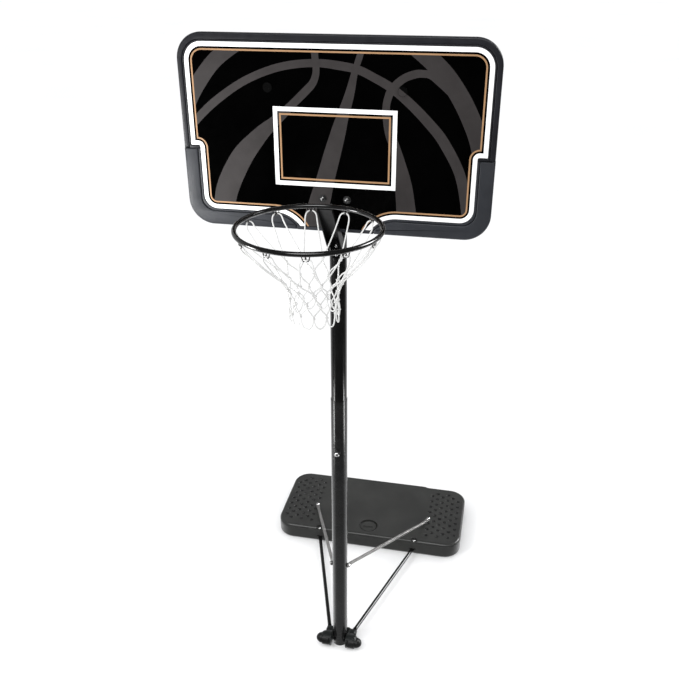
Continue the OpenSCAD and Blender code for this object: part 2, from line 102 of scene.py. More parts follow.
def finish_mesh(name, mesh, sharp=35.0):
    """Object from a mesh, with its faces turned outwards and its shading set."""
    bm = bmesh.new()
    bm.from_mesh(mesh)
    bmesh.ops.remove_doubles(bm, verts=bm.verts, dist=1e-6)
    bmesh.ops.dissolve_degenerate(bm, edges=bm.edges, dist=1e-7)
    bmesh.ops.recalc_face_normals(bm, faces=bm.faces)
    bm.to_mesh(mesh)
    bm.free()
    mesh.shade_smooth()
    mesh.set_sharp_from_angle(angle=math.radians(sharp))
    return linked(name, mesh)


def loft_faces(first, ring_count, ring_size, closed_path=False):
    """Quads between rings of points, with an end cap at each open end."""
    faces = []
    steps = ring_count if closed_path else ring_count - 1
    for i in range(steps):
        a = first + i * ring_size
        b = first + (i + 1) % ring_count * ring_size
        for j in range(ring_size):
            k = (j + 1) % ring_size
            faces.append((a + j, a + k, b + k, b + j))
    if not closed_path:
        faces.append(tuple(first + j for j in reversed(range(ring_size))))
        last = first + (ring_count - 1) * ring_size
        faces.append(tuple(last + j for j in range(ring_size)))
    return faces


def loft(name, lofts, closed_path=False, sharp=35.0):
    """One object made of several lofts, each a list of rings with the same number of points."""
    verts, faces = [], []
    for rings in lofts:
        faces += loft_faces(len(verts), len(rings), len(rings[0]), closed_path)
        for ring in rings:
            verts += ring
    return mesh_object(name, verts, faces, sharp)


def circle_ring(centre, side, up, radius, count):
    """Points round a circle that lies across the directions side and up."""
    return [
        centre + (side * math.cos(a) + up * math.sin(a)) * radius
        for a in (2 * math.pi * i / count for i in range(count))
    ]


def tube_rings(points, radius, count):
    """Rings along a path, turned as little as possible from one to the next."""
    rings = []
    side = None
    for i, p in enumerate(points):
        ahead = points[min(i + 1, len(points) - 1)] - points[max(i - 1, 0)]
        ahead.normalize()
        if side is None:
            side = ahead.orthogonal().normalized()
        side = (side - ahead * side.dot(ahead)).normalized()
        rings.append(circle_ring(p, side, ahead.cross(side), radius, count))
    return rings


def applied(obj, sharp):
    """Bakes an object's modifiers into its mesh."""
    graph = bpy.context.evaluated_depsgraph_get()
    mesh = bpy.data.meshes.new_from_object(obj.evaluated_get(graph))
    name = obj.name
    bpy.data.objects.remove(obj)
    return finish_mesh(name, mesh, sharp)


def boolean(obj, cutter, operation, sharp=35.0):
    """Cuts away, keeps or adds what cutter covers, and removes the cutter."""
    mod = obj.modifiers.new("cut", "BOOLEAN")
    mod.object = cutter
    mod.operation = operation
    mod.solver = "EXACT"
    mod.use_self = operation == "INTERSECT"
    bpy.context.view_layer.update()
    made = applied(obj, sharp)
    bpy.data.objects.remove(cutter)
    return made


def arc(cx, cy, radius, start, end, steps):
    """Points of an arc in a plane, angles in degrees."""
    turns = (math.radians(start + (end - start) * i / steps) for i in range(steps + 1))
    return [(cx + radius * math.cos(a), cy + radius * math.sin(a)) for a in turns]


def whole_circle(cx, cy, radius, count=24):
    """Points all round a circle in a plane."""
    return arc(cx, cy, radius, 0, 360 - 360 / count, count - 1)


def level_ring(outline, z):
    """Ring at one height, from millimetres."""
    return [Vector((x, y, z)) * MM for x, y in outline]


def crosswise_ring(x, outline):
    """Ring that lies across the X direction, from millimetres."""
    return [Vector((x, y, z)) * MM for y, z in outline]


def column(outline, low, high):
    """Rings of an upright prism."""
    return [level_ring(outline, low), level_ring(outline, high)]


def slab(outline, front, back):
    """Rings of a prism along Y, from an outline in X and Z, all in metres."""
    return [[Vector((x, y, z)) for x, z in outline] for y in (front, back)]


def flipped(path):
    """The mirror image of a path, point by point."""
    return [(-x, z) for x, z in path]


def mirrored(path):
    """A right half path followed by its mirror image."""
    return path + flipped(reversed(path))


def join(name, objects):
    """Several meshes as one object."""
    bm = bmesh.new()
    for obj in objects:
        bm.from_mesh(obj.data)
    mesh = bpy.data.meshes.new(name)
    bm.to_mesh(mesh)
    bm.free()
    for obj in objects:
        bpy.data.objects.remove(obj)
    return finish_mesh(name, mesh, 40)


def mirror_x(obj, name):
    """Mirror copy of an object across the middle plane."""
    mesh = obj.data.copy()
    for v in mesh.vertices:
        v.co.x = -v.co.x
    mesh.flip_normals()
    return finish_mesh(name, mesh)


# Share of the full bevel that an edge away from the soft ones gets
SMALL_BEVEL = 0.4


def bevelled_prism(name, outline, front, back, soft_edges, front_bevel, back_bevel):
    """Upright slab with a given outline. Its front edges are rounded by front_bevel and its back
    ones by back_bevel, in full where soft_edges, a test on an edge's middle, says so."""
    bm = bmesh.new()
    face = bm.faces.new([bm.verts.new((x, front, z)) for x, z in outline])
    made = bmesh.ops.extrude_face_region(bm, geom=[face])
    for v in (g for g in made["geom"] if isinstance(g, bmesh.types.BMVert)):
        v.co.y = back
    weight = bm.edges.layers.float.new("bevel_weight_edge")
    for edge in bm.edges:
        depths = {round(v.co.y, 6) for v in edge.verts}
        if len(depths) > 1:
            continue
        middle = (edge.verts[0].co + edge.verts[1].co) / 2
        full = 1.0 if soft_edges(middle.x, middle.z) else SMALL_BEVEL
        edge[weight] = full if depths == {round(front, 6)} else full * back_bevel / front_bevel
    bmesh.ops.recalc_face_normals(bm, faces=bm.faces)
    mesh = bpy.data.meshes.new(name)
    bm.to_mesh(mesh)
    bm.free()
    obj = linked(name, mesh)
    mod = obj.modifiers.new("round", "BEVEL")
    mod.limit_method = "WEIGHT"
    mod.width = front_bevel
    mod.segments = 5
    mod.use_clamp_overlap = False
    return applied(obj, 40)


# ---------- materials ----------

def new_material(name):
    mat = bpy.data.materials.new(name)
    mat.use_nodes = True
    tree = mat.node_tree
    shader = tree.nodes["Principled BSDF"]
    return mat, tree, shader


def node(tree, kind, inputs=(), **settings):
    """Adds a node, sets its properties, and fills inputs with values or links."""
    made = tree.nodes.new(kind)
    for key, value in settings.items():
        setattr(made, key, value)
    for key, value in dict(inputs).items():
        if isinstance(value, bpy.types.NodeSocket):
            tree.links.new(value, made.inputs[key])
        else:
            made.inputs[key].default_value = value
    return made


def noise(tree, scale, detail, rough=0.55):
    """Noise over the object's own coordinates, scale in cells per metre."""
    coords = node(tree, "ShaderNodeTexCoord").outputs["Object"]
    made = node(tree, "ShaderNodeTexNoise", {
        "Vector": coords, "Scale": scale, "Detail": detail, "Roughness": rough
    })
    return made.outputs["Fac"]


def spread(tree, value, low, high, to_low, to_high):
    """Maps a value from low..high to to_low..to_high, held at the ends."""
    made = node(tree, "ShaderNodeMapRange", {
        "Value": value, "From Min": low, "From Max": high, "To Min": to_low, "To Max": to_high
    })
    return made.outputs["Result"]


def blend_colour(tree, factor, one, two):
    # Sockets 6 and 7 are the mix node's two colours, and output 2 is their blend
    inputs = {"Factor": factor, 6: (*one, 1), 7: (*two, 1)}
    return node(tree, "ShaderNodeMix", inputs, data_type="RGBA").outputs[2]


def bump(tree, height, distance):
    inputs = {"Height": height, "Distance": distance, "Strength": 1.0}
    return node(tree, "ShaderNodeBump", inputs).outputs["Normal"]


# Parts of the noises' range that the tones and the roughness are spread over
TONE_RANGE = (0.35, 0.68)
WEAR_RANGE = (0.3, 0.7)
COAT_ROUGH = 0.12


def finish(name, dark, light, rough, grain, metallic=0.0, coat=0.0, specular=0.5,
           tint_scale=9.0):
    """Surface whose colour drifts between two tones, with a grain.

    rough is (least, most); grain is (cells per metre, height in metres)."""
    mat, tree, shader = new_material(name)
    drift = spread(tree, noise(tree, tint_scale, 5.0, 0.6), *TONE_RANGE, 0, 1)
    wear = noise(tree, tint_scale * 4, 6.0, 0.65)
    grains, height = grain
    tree.links.new(blend_colour(tree, drift, dark, light), shader.inputs["Base Color"])
    tree.links.new(spread(tree, wear, *WEAR_RANGE, *rough), shader.inputs["Roughness"])
    tree.links.new(bump(tree, noise(tree, grains, 3.0, 0.6), height), shader.inputs["Normal"])
    shader.inputs["Metallic"].default_value = metallic
    shader.inputs["Specular IOR Level"].default_value = specular
    shader.inputs["Coat Weight"].default_value = coat
    shader.inputs["Coat Roughness"].default_value = COAT_ROUGH
    return mat


def grey(level, warmth=0.0):
    return (level * (1 + warmth), level, level * (1 - warmth))


mats = {
    "pole": finish("pole_powder_coat", grey(0.006), grey(0.011), (0.20, 0.30), (850, 0.00010),
                   coat=0.25),
    "upper_pole": finish("upper_pole_gloss", grey(0.003), grey(0.005), (0.15, 0.22),
                         (900, 0.00006), coat=0.3),
    "rim": finish("rim_gloss_black", grey(0.002), grey(0.004), (0.13, 0.22), (800, 0.00010),
                  coat=0.3),
    "bracket": finish("bracket_black", grey(0.003), grey(0.007), (0.30, 0.42), (700, 0.00012),
                      specular=0.3),
    "arm": finish("rim_arm_black", grey(0.0012), grey(0.0028), (0.28, 0.40), (700, 0.00012),
                  specular=0.1),
    "dark_zinc": finish("aged_zinc_steel", grey(0.16, 0.01), grey(0.26), (0.22, 0.38),
                        (900, 0.00005), metallic=1.0, tint_scale=60),
    "tie_rod": finish("tie_rod_gloss", grey(0.0015), grey(0.003), (0.10, 0.17), (900, 0.00006)),
    "strut": finish("strut_galvanised", grey(0.24, 0.02), grey(0.34, 0.02), (0.36, 0.55),
                    (500, 0.00008), metallic=0.85, tint_scale=24),
    "zinc": finish("zinc_plated_steel", grey(0.62, 0.01), grey(0.80), (0.16, 0.30), (900, 0.00005),
                   metallic=1.0, tint_scale=60),
    "panel": finish("panel_black_ink", grey(0.0003), grey(0.0006), (0.11, 0.17), (1300, 0.00004),
                    specular=0.05),
    "plug": finish("hole_plug_black", grey(0.0012), grey(0.0020), (0.22, 0.30), (1300, 0.00004),
                   specular=0.15),
    "white_ink": finish("white_ink", grey(0.84), grey(0.90), (0.36, 0.48), (1300, 0.00005)),
    "tan_ink": finish("tan_ink", (0.315, 0.178, 0.084), (0.365, 0.207, 0.100), (0.36, 0.48),
                      (1300, 0.00005)),
    "seam_ink": finish("seam_ink", (0.0260, 0.0228, 0.0225), (0.0340, 0.0300, 0.0297),
                       (0.40, 0.52), (1300, 0.00005), specular=0.2),
    "frame": finish("frame_plastic", (0.009, 0.0093, 0.0118), (0.0130, 0.0137, 0.0175),
                    (0.34, 0.46), (1100, 0.00020), specular=0.3),
    "pad": finish("pad_plastic", (0.0190, 0.0208, 0.0252), (0.0250, 0.0272, 0.0330), (0.38, 0.50),
                  (1000, 0.00024), specular=0.4),
    "tank": finish("tank_blown_plastic", (0.021, 0.0212, 0.0203), (0.032, 0.0325, 0.0305),
                   (0.28, 0.40), (620, 0.00030), tint_scale=6),
    # Darker tone of the tank plastic for the grip dimples: painted shade in the recesses
    "grip": finish("tank_grip_pits_painted_shade", (0.004, 0.0042, 0.0041), (0.008, 0.0082, 0.008),
                   (0.30, 0.42), (620, 0.00030)),
    "foot": finish("foot_moulded_plastic", (0.006, 0.0073, 0.0071), (0.012, 0.0138, 0.0135),
                   (0.34, 0.46), (900, 0.0003), specular=0.3),
    "wheel": finish("wheel_plastic", grey(0.005), grey(0.010), (0.36, 0.50), (900, 0.0002),
                    specular=0.3),
    "rubber": finish("dark_rubber", grey(0.008), grey(0.014), (0.55, 0.7), (1200, 0.0002)),
    "cord": finish("net_cord", (0.58, 0.58, 0.57), (0.70, 0.70, 0.69), (0.62, 0.8),
                   (1500, 0.0006)),
}

# The nodes that show as the CAD made them, by material
NODE_MATERIALS = {
    "pole": ["lower_pole"],
    "upper_pole": ["upper_pole"],
    "rim": ["rim_ring"],
    "arm": ["rim_arm", "rim_plate"],
    "bracket": ["upper_crossbar", "lower_crossbar", "upper_pole_strap", "lower_pole_strap"],
    "dark_zinc": ["board_bolts", "upper_board_bolts"],
    "zinc": ["lock_pin", "strap_bolts", "rim_bolts",
             "strut_pole_bolts", "strut_tank_bolts", "tie_rod_tank_bolts", "tie_rod_foot_bolts",
             "carriage_screw", "wheel_axles"],
    "panel": ["board_panel"],
    "plug": ["hole_plugs"],
    "foot": ["foot_plug"],
    "wheel": ["left_wheel", "right_wheel", "pole_cap"],
    "rubber": ["board_bolt_washers", "filler_gasket"],
    "tank": ["filler_cap"],
}


def paint(mesh, material):
    """Gives a mesh one of the materials, and no other."""
    mesh.materials.clear()
    mesh.materials.append(mats[material])


def dress_nodes():
    """Paints the CAD nodes that show."""
    for key, names in NODE_MATERIALS.items():
        for name in names:
            paint(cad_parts[name].data, key)


def piece(obj, material, body, slot, *replaced):
    """Gives a piece its material and body, and hides the nodes that it stands for; its record slot
    is not used.
    """
    paint(obj.data, material)
    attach(obj, body)
    if replaced:
        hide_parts(*replaced)
    return obj


dress_nodes()


# ---------- board ----------

# Board paths are in millimetres: X from the middle, height from the board's lower edge
panel_low, panel_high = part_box("board_panel")
pad_low, pad_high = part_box("lower_pad")
frame_low, frame_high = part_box("board_frame")
plug_low, plug_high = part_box("hole_plugs")
BOARD_Z = pad_low.z
BOARD_HALF = pad_high.x / MM
BOARD_TOP = (frame_high.z - BOARD_Z) / MM + 1
PANEL_FRONT = panel_low.y
FRAME_FRONT = frame_low.y
PAD_FRONT = pad_low.y
TRIM_BACK = pad_high.y
CORNER_R = 92
CORNER_X = BOARD_HALF - CORNER_R
FRAME_W = 26
FRAME_TOP_W = 29
PAD_W = 60
PAD_INNER_R = 50
PAD_HALF = BOARD_HALF - PAD_W
ARM_TOP = (pad_high.z - BOARD_Z) / MM
# The border's step beside the arms of the pad, and its dip round the middle below
STEP_Z = 293
STEP_R = 6
DIP_X = 228
DIP_R = 120
DIP_FLOOR = 12
PRINT_FLOOR = DIP_FLOOR + 1.5
PLUG_R = (plug_high.z - plug_low.z) / 2
# Thickness of the printed lines, and how far they reach into the panel
PRINT_THICK = 0.4 * MM
PRINT_SINK = 0.1 * MM


def to_board(path):
    """Turns board millimetres into the frame's metres in X and Z."""
    return [(x * MM, BOARD_Z + z * MM) for x, z in path]


def dip_arc(offset, floor, steps=14):
    """The curve by which the opening dips at the bottom centre, right side, from z = floor up."""
    radius = DIP_R + offset
    centre_z = PAD_W - DIP_R
    low = 180 - math.degrees(math.asin((floor - centre_z) / radius))
    return arc(DIP_X, centre_z, radius, low, 90, steps)


def border(offset):
    """Right half of the board's opening from the bottom up, moved inwards by offset."""
    inner_r = CORNER_R - FRAME_W
    path = dip_arc(offset, PRINT_FLOOR)
    path += arc(PAD_HALF - PAD_INNER_R, PAD_W + PAD_INNER_R, PAD_INNER_R - offset, -90, 0, 10)
    path += arc(PAD_HALF + STEP_R, STEP_Z - STEP_R, STEP_R + offset, 180, 90, 6)
    path.append((BOARD_HALF - FRAME_W - offset, STEP_Z + offset))
    path += arc(CORNER_X, BOARD_TOP - FRAME_TOP_W - inner_r, inner_r - offset, 0, 90, 12)
    return path


def ink_rings(outer, inner, thickness):
    """Thin raised layer of ink between two paths with the same number of points."""
    front, back = PANEL_FRONT - thickness, PANEL_FRONT + PRINT_SINK
    return [
        [Vector((x0, back, z0)), Vector((x0, front, z0)),
         Vector((x1, front, z1)), Vector((x1, back, z1))]
        for (x0, z0), (x1, z1) in zip(to_board(outer), to_board(inner))
    ]


def border_strip(name, near, far):
    """Ink all along the border, between two distances from the opening's edge."""
    return loft(name, [ink_rings(mirrored(border(near)), mirrored(border(far)), PRINT_THICK)])


def target_strip(name, half, low, high, width):
    """Ink round a square-cornered box."""
    box = [(half, low), (half, high), (-half, high), (-half, low)]
    inner = [
        (half - width, low + width), (half - width, high - width),
        (-half + width, high - width), (-half + width, low + width),
    ]
    return loft(name, [ink_rings(box, inner, PRINT_THICK)], closed_path=True)


# Seam bands of a big ball, as [X, height on the board, half width]
SEAM_BANDS = [
    [(-290, 668, 26), (-350, 637, 26), (-422, 585, 26), (-480, 519, 27), (-525, 452, 28),
     (-555, 380, 29)],
    [(-560, 325, 14), (-502, 386, 14), (-430, 449, 14), (-330, 515, 13), (-231, 558, 13),
     (-145, 579, 13), (-57, 586, 13), (15, 580, 14), (83, 568, 14), (140, 543, 14),
     (198, 512, 15), (261, 464, 16), (326, 403, 17), (380, 341, 18), (443, 229, 18),
     (475, 92, 19), (484, 10, 20)],
    [(-70, 660, 12), (-65, 605, 12), (-62, 557, 12), (-74, 522, 13), (-100, 494, 14),
     (-150, 447, 14), (-190, 410, 17), (-221, 382, 20), (-261, 348, 26), (-329, 275, 37),
     (-371, 210, 41), (-405, 140, 42), (-421, 77, 41), (-432, 10, 41)],
    [(100, 660, 10), (89, 615, 11), (72, 564, 11), (54, 490, 16), (27, 406, 22), (14, 360, 26),
     (-8, 284, 30), (-33, 195, 33), (-58, 102, 39), (-92, -20, 44)],
    [(428, 459, 10), (399, 500, 13), (360, 536, 15), (330, 556, 13), (306, 561, 12),
     (274, 559, 13), (233, 542, 13), (198, 508, 14), (184, 475, 13), (180, 443, 13),
     (185, 404, 15), (195, 362, 17), (211, 321, 18), (228, 266, 22), (247, 185, 30),
     (260, 89, 35), (267, 10, 39)],
    [(210, 680, 30), (268, 648, 30), (326, 603, 30), (382, 550, 30), (440, 468, 31),
     (487, 375, 31), (508, 310, 31), (528, 230, 32)],
]
# Bands that cross the right hole plug, and are printed over it as well
PLUG_BANDS = (1, 4)
# Thickness of the first band, and what each later one has more, so that crossing faces differ
SEAM_INK = 0.18
SEAM_STEP = 0.02
PLUG_INK = 0.1
# The bands end at this distance from the opening's edge
SEAM_LIMIT = 29.6


def smooth_path(points, steps):
    """Catmull-Rom curve through points of any dimension."""
    out = []
    padded = [points[0]] + list(points) + [points[-1]]
    for i in range(1, len(padded) - 2):
        before, a, b, after = padded[i - 1:i + 3]
        for s in range(steps):
            t = s / steps
            out.append(tuple(
                0.5 * (2 * q + (r - p) * t + (2 * p - 5 * q + 4 * r - w) * t * t
                       + (3 * q - p - 3 * r + w) * t ** 3)
                for p, q, r, w in zip(before, a, b, after)
            ))
    out.append(tuple(points[-1]))
    return out


def seam_edges(band):
    """Both edges of a band along its smoothed centre line."""
    line = smooth_path(band, 6)
    left, right = [], []
    for i, (x, z, half) in enumerate(line):
        x0, z0 = line[max(i - 1, 0)][:2]
        x1, z1 = line[min(i + 1, len(line) - 1)][:2]
        along = math.hypot(x1 - x0, z1 - z0)
        nx, nz = -(z1 - z0) / along, (x1 - x0) / along
        left.append((x + nx * half, z + nz * half))
        right.append((x - nx * half, z - nz * half))
    return left, right


def seam_band(index, below, ink, cutter):
    """A band of ink over what lies below it, kept where the cutter covers it."""
    thickness = below + (ink + SEAM_STEP * index) * MM
    rings = ink_rings(*seam_edges(SEAM_BANDS[index]), thickness)
    return boolean(loft("seam", [rings], sharp=60), loft("cutter", [cutter]), "INTERSECT", 60)


def make_seams():
    """All bands as layers of ink, cut off at the inner border line."""
    limit = to_board(mirrored(border(SEAM_LIMIT)))
    inside = slab(limit, PANEL_FRONT - 2 * MM, PANEL_FRONT + 2 * MM)
    bands = [seam_band(i, 0, SEAM_INK, inside) for i in range(len(SEAM_BANDS))]
    centre = Vector((plug_high.x - PLUG_R, plug_low.y, (plug_low.z + plug_high.z) / 2))
    plug_face = [
        circle_ring(centre + Vector((0, depth * MM, 0)), RIGHT, UP, PLUG_R - 0.5 * MM, 32)
        for depth in (-1, 0.2)
    ]
    plug_rise = PANEL_FRONT - plug_low.y
    bands += [seam_band(i, plug_rise, PLUG_INK, plug_face) for i in PLUG_BANDS]
    return join("ball_seam_print", bands)


def opening_path(grow, floor):
    """Right half of the pad's opening from the bottom centre to the top of its arm."""
    path = dip_arc(-grow, floor, 16)
    path += arc(PAD_HALF + grow - PAD_INNER_R, PAD_W - grow + PAD_INNER_R, PAD_INNER_R, -90, 0, 12)
    path.append((PAD_HALF + grow, ARM_TOP))
    return path


def board_outline_arc(inset, top):
    """Quarter arc at the board's right corners, from the side towards the middle."""
    if top:
        return arc(CORNER_X, BOARD_TOP - CORNER_R, CORNER_R - inset, 0, 90, 18)
    return arc(CORNER_X, CORNER_R, CORNER_R - inset, 0, -90, 18)


# The trim's slot for the panel: how far in it ends, and its play
SLOT_INSET = 11.5
SLOT_PLAY = 0.25 * MM
# The trim's lip over the panel, its bevels, and the bodies' back bevel
LIP_RISE = 2.2 * MM
LIP_BEVELS = (1.2 * MM, 1 * MM)
BACK_BEVEL = 3 * MM
# Width of the outer edge that gets the trim's full bevel
SOFT_EDGE = 12


def slot_cutter(name):
    """The slot round the panel's edge that the trim pieces hold it in."""
    half = [(0, SLOT_INSET)] + list(reversed(board_outline_arc(SLOT_INSET, False)))
    half += board_outline_arc(SLOT_INSET, True) + [(0, BOARD_TOP - SLOT_INSET)]
    outline = to_board(half + flipped(reversed(half[1:-1])))
    return loft(name, [slab(outline, panel_low.y - SLOT_PLAY, panel_high.y + SLOT_PLAY)])


def on_outline(x, z):
    """True near the outline of the board, False on the inner side of its trim."""
    x, z = abs(x) / MM, (z - BOARD_Z) / MM
    dx, dz = max(x - CORNER_X, 0), max(CORNER_R - z, z - (BOARD_TOP - CORNER_R), 0)
    return math.hypot(dx, dz) > CORNER_R - SOFT_EDGE


def trim_piece(name, bodies, lip, front, bevel):
    """A trim moulding: rounded bodies, and a low lip inside them, slotted for the panel."""
    parts = [
        bevelled_prism("body", outline, front, TRIM_BACK, on_outline, bevel, BACK_BEVEL)
        for outline in bodies
    ]
    parts.append(bevelled_prism(
        "lip", lip, PANEL_FRONT - LIP_RISE, TRIM_BACK, lambda x, z: True, *LIP_BEVELS
    ))
    return join(name, [boolean(p, slot_cutter("slot"), "DIFFERENCE", 40) for p in parts])


def lower_pad():
    """Pad round the lower corners: a thick body on each side, and a lip all along the opening."""
    lip_w, gap, end_z = 7, 1.6, 14
    inner = opening_path(lip_w + gap, end_z)
    body = [(inner[0][0], 0)] + list(reversed(board_outline_arc(0, False)))
    body += [(BOARD_HALF, ARM_TOP)] + list(reversed(inner))
    near, far = opening_path(0, DIP_FLOOR), opening_path(lip_w, end_z)
    far = [(far[0][0], 0)] + far
    lip = near + list(reversed(far)) + flipped(far) + flipped(reversed(near))
    return trim_piece("lower_pad_moulding", [to_board(body), to_board(flipped(body))],
                      to_board(lip), PAD_FRONT, 9 * MM)


def upper_frame():
    """Frame round the upper corners: one body, and a lip that turns in above the pad."""
    lip_w, gap, inset = 5, 1.2, 1
    base_z = ARM_TOP + 2
    outer = [(BOARD_HALF - inset, base_z)] + board_outline_arc(inset, True)

    def inner(grow):
        radius = CORNER_R - FRAME_W + grow
        return arc(CORNER_X, BOARD_TOP - FRAME_TOP_W + grow - radius, radius, 0, 90, 16)

    def half_width(grow):
        return BOARD_HALF - FRAME_W + grow

    body = list(reversed(outer)) + [(half_width(lip_w + gap), base_z)] + inner(lip_w + gap)
    near = [(PAD_HALF, base_z), (PAD_HALF, STEP_Z), (half_width(0), STEP_Z)] + inner(0)
    far = [(half_width(lip_w), base_z)] + inner(lip_w)
    lip = near + flipped(reversed(near)) + flipped(far) + list(reversed(far))
    return trim_piece("upper_frame_moulding", [to_board(mirrored(body))],
                      to_board(lip), FRAME_FRONT, 6 * MM)


piece(border_strip("white_border_print", 1.5, 17.0), "white_ink", "head", "panel_black")
piece(border_strip("tan_border_print", 24.0, 29.5), "tan_ink", "head", "panel_black")
piece(target_strip("white_target_print", 219, 165, 440, 15), "white_ink", "head", "panel_black")
piece(target_strip("tan_target_print", 197, 187, 418, 6), "tan_ink", "head", "panel_black")
piece(make_seams(), "seam_ink", "head", "panel_black")
piece(lower_pad(), "pad", "head", "pad_plastic", "lower_pad")
piece(upper_frame(), "frame", "head", "frame_plastic", "board_frame")


# ---------- net ----------

# Net lengths are in millimetres, its angles in degrees, and depths are below the ring
ring_low, ring_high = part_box("rim_ring")
RING_X = (ring_low.x + ring_high.x) / 2
RING_Y = (ring_low.y + ring_high.y) / 2
RING_Z = (ring_low.z + ring_high.z) / 2
HOOKS = 12
HOOK_START = 12
CORD_R = 2.4 * MM
# Each strand's distance from the net's middle surface where two of them cross
CROSS_GAP = 1.7
ROW_DEPTHS = [146, 192, 234, 276]
HEM_DEPTH = 318
HEM_SPREAD = 7
# Radius over the net's cords by depth, and how far in their middle surface lies
NET_SHAPE = [(20, 224), (60, 197), (110, 163), (140, 139), (172, 108), (200, 92), (230, 86),
             (300, 86), (330, 88)]
NET_INSET = 3.5
# The net hangs a little to one side: its shift, and the depths where that starts and grows
NET_LEAN = 14
LEAN_START = 50
LEAN_GROWTH = 160
# Right half of a loop over its hook, as [along the ring, from its axis, depth]
LOOP_TOP = [(0, 241.0, 17.2), (5.8, 237.4, 16.6), (10.5, 233.8, 18.2), (15.5, 231.6, 22.5),
            (18.6, 228.8, 30), (20.4, 224, 41)]
# How far a knot strays round the ring and down, and what share each row gets
STRAY_TURN = 1.1
STRAY_DEPTH = 3.2
STRAY_BASE = 0.5
STRAY_ROW = 0.3
# Steps along a strand's leg, a mesh and the hem, and how much they hug the knots
LEG_STEPS = (0.2, 0.4, 0.6, 0.8, 0.93)
LEG_SAG = -5
MESH_STEPS = (0.17, 0.34, 0.5, 0.66, 0.83, 1.0)
MESH_HUG = 0.75
HEM_STEPS = (0.1, 0.22, 0.34, 0.42, 0.5, 0.58, 0.66, 0.78, 0.9)
HEM_HUG = 0.35
# Radius of a knot's wrap, its bulge outwards, its sides and its most tilt
KNOT_R = 3.6
KNOT_BULGE = 0.7
KNOT_STEPS = 12
KNOT_TILT = 0.35
net_random = random.Random(7)


def net_radius(depth):
    """Radius of the net's middle surface at a depth."""
    for (d0, r0), (d1, r1) in zip(NET_SHAPE, NET_SHAPE[1:]):
        if depth <= d1:
            return r0 + (r1 - r0) * (depth - d0) / (d1 - d0) - NET_INSET
    return NET_SHAPE[-1][1] - NET_INSET


def round_ring(angle, radius, depth, along=0.0):
    """Point near the ring, from its angle, radius, depth and distance along the ring."""
    a = math.radians(angle)
    lean = NET_LEAN * min(max(depth - LEAN_START, 0) / LEAN_GROWTH, 1)
    x = radius * math.cos(a) - along * math.sin(a) + lean
    y = radius * math.sin(a) + along * math.cos(a)
    return Vector((RING_X + x * MM, RING_Y + y * MM, RING_Z - depth * MM))


def nearest_turn(angle, target):
    """The angle that points where target does, less than half a turn away from angle."""
    return angle + (target - angle + 180) % 360 - 180


def hugging(t, hug):
    """Share of the way round the ring at a share t of the way down, slow near both knots."""
    return t - hug * math.sin(2 * math.pi * t) / (2 * math.pi)


def make_knots():
    """Angle and depth of each knot, by row and by its step of 15 degrees round the ring."""
    knots = {}
    step_angle = 180 / HOOKS
    for row, depth in enumerate(ROW_DEPTHS, 1):
        slack = STRAY_BASE + STRAY_ROW * row
        for step in range(2 * HOOKS):
            if (step + row) % 2 == 0:
                stray = net_random.uniform(-STRAY_TURN, STRAY_TURN) * slack
                fall = net_random.uniform(-STRAY_DEPTH, STRAY_DEPTH) * slack
                knots[row, step] = (HOOK_START + step_angle * step + stray, depth + fall)
    return knots


def strand(knots, hook, way):
    """Cord from a hook down to the last row, leaning round the ring in one way, 1 or -1."""
    start = HOOK_START + 360 / HOOKS * hook
    points = [
        round_ring(start, radius, depth, way * along) for along, radius, depth in LOOP_TOP
    ]
    side = CROSS_GAP * way
    angle, depth = knots[1, (2 * hook + way) % (2 * HOOKS)]
    angle = nearest_turn(start, angle)
    tie = round_ring(angle, net_radius(depth) + side, depth)
    leg = tie - points[-1]
    for t in LEG_STEPS:
        sag = UP * (LEG_SAG * MM * math.sin(math.pi * t))
        points.append(tie - leg * (1 - t) + sag)
    points.append(tie)
    for row in range(2, len(ROW_DEPTHS) + 1):
        next_angle, next_depth = knots[row, (2 * hook + way * row) % (2 * HOOKS)]
        next_angle = nearest_turn(angle, next_angle)
        for t in MESH_STEPS:
            at = depth + (next_depth - depth) * t
            turned = angle + (next_angle - angle) * hugging(t, MESH_HUG)
            points.append(round_ring(turned, net_radius(at) + side, at))
        angle, depth = next_angle, next_depth
    return points, angle, depth


def hem(angle, depth, end_angle, end_depth):
    """Loop of the hem between two knots of the last row."""
    end_angle = nearest_turn(angle, end_angle)
    drop = HEM_DEPTH - net_random.uniform(0, HEM_SPREAD)
    points = []
    for t in HEM_STEPS:
        ends = depth + (end_depth - depth) * t
        at = ends + (drop - ends) * math.sin(math.pi * t) ** 0.8
        radius = net_radius(at) + CROSS_GAP * (1 - 2 * t)
        turned = angle + (end_angle - angle) * hugging(t, HEM_HUG)
        points.append(round_ring(turned, radius, at))
    return points


def cord_rings(points, sides):
    """Rings round a closed cord, turned to face the axis of the ring."""
    dense = [Vector(p) for p in smooth_path(points + points[:1], 2)][:-1]
    rings = []
    for i, p in enumerate(dense):
        ahead = (dense[(i + 1) % len(dense)] - dense[i - 1]).normalized()
        out = Vector((p.x - RING_X, p.y - RING_Y, 0.0))
        side = (out - ahead * out.dot(ahead)).normalized()
        rings.append(circle_ring(p, side, ahead.cross(side), CORD_R, sides))
    return rings


def knot_rings(centre):
    """Wrap of cord round two strands that cross."""
    out = Vector((centre.x - RING_X, centre.y - RING_Y, 0.0)).normalized()
    side = Vector((-out.y, out.x, 0.0))
    tilt = net_random.uniform(-KNOT_TILT, KNOT_TILT)
    rings = []
    for i in range(KNOT_STEPS):
        a = 2 * math.pi * i / KNOT_STEPS
        ahead = out * math.cos(a) + side * math.sin(a)
        lift = Vector((0, 0, math.sin(a) * tilt * KNOT_R * MM))
        reach = KNOT_R * MM + KNOT_BULGE * MM * abs(math.cos(a))
        rings.append(circle_ring(centre + ahead * reach + lift, ahead, UP, CORD_R, 8))
    return rings


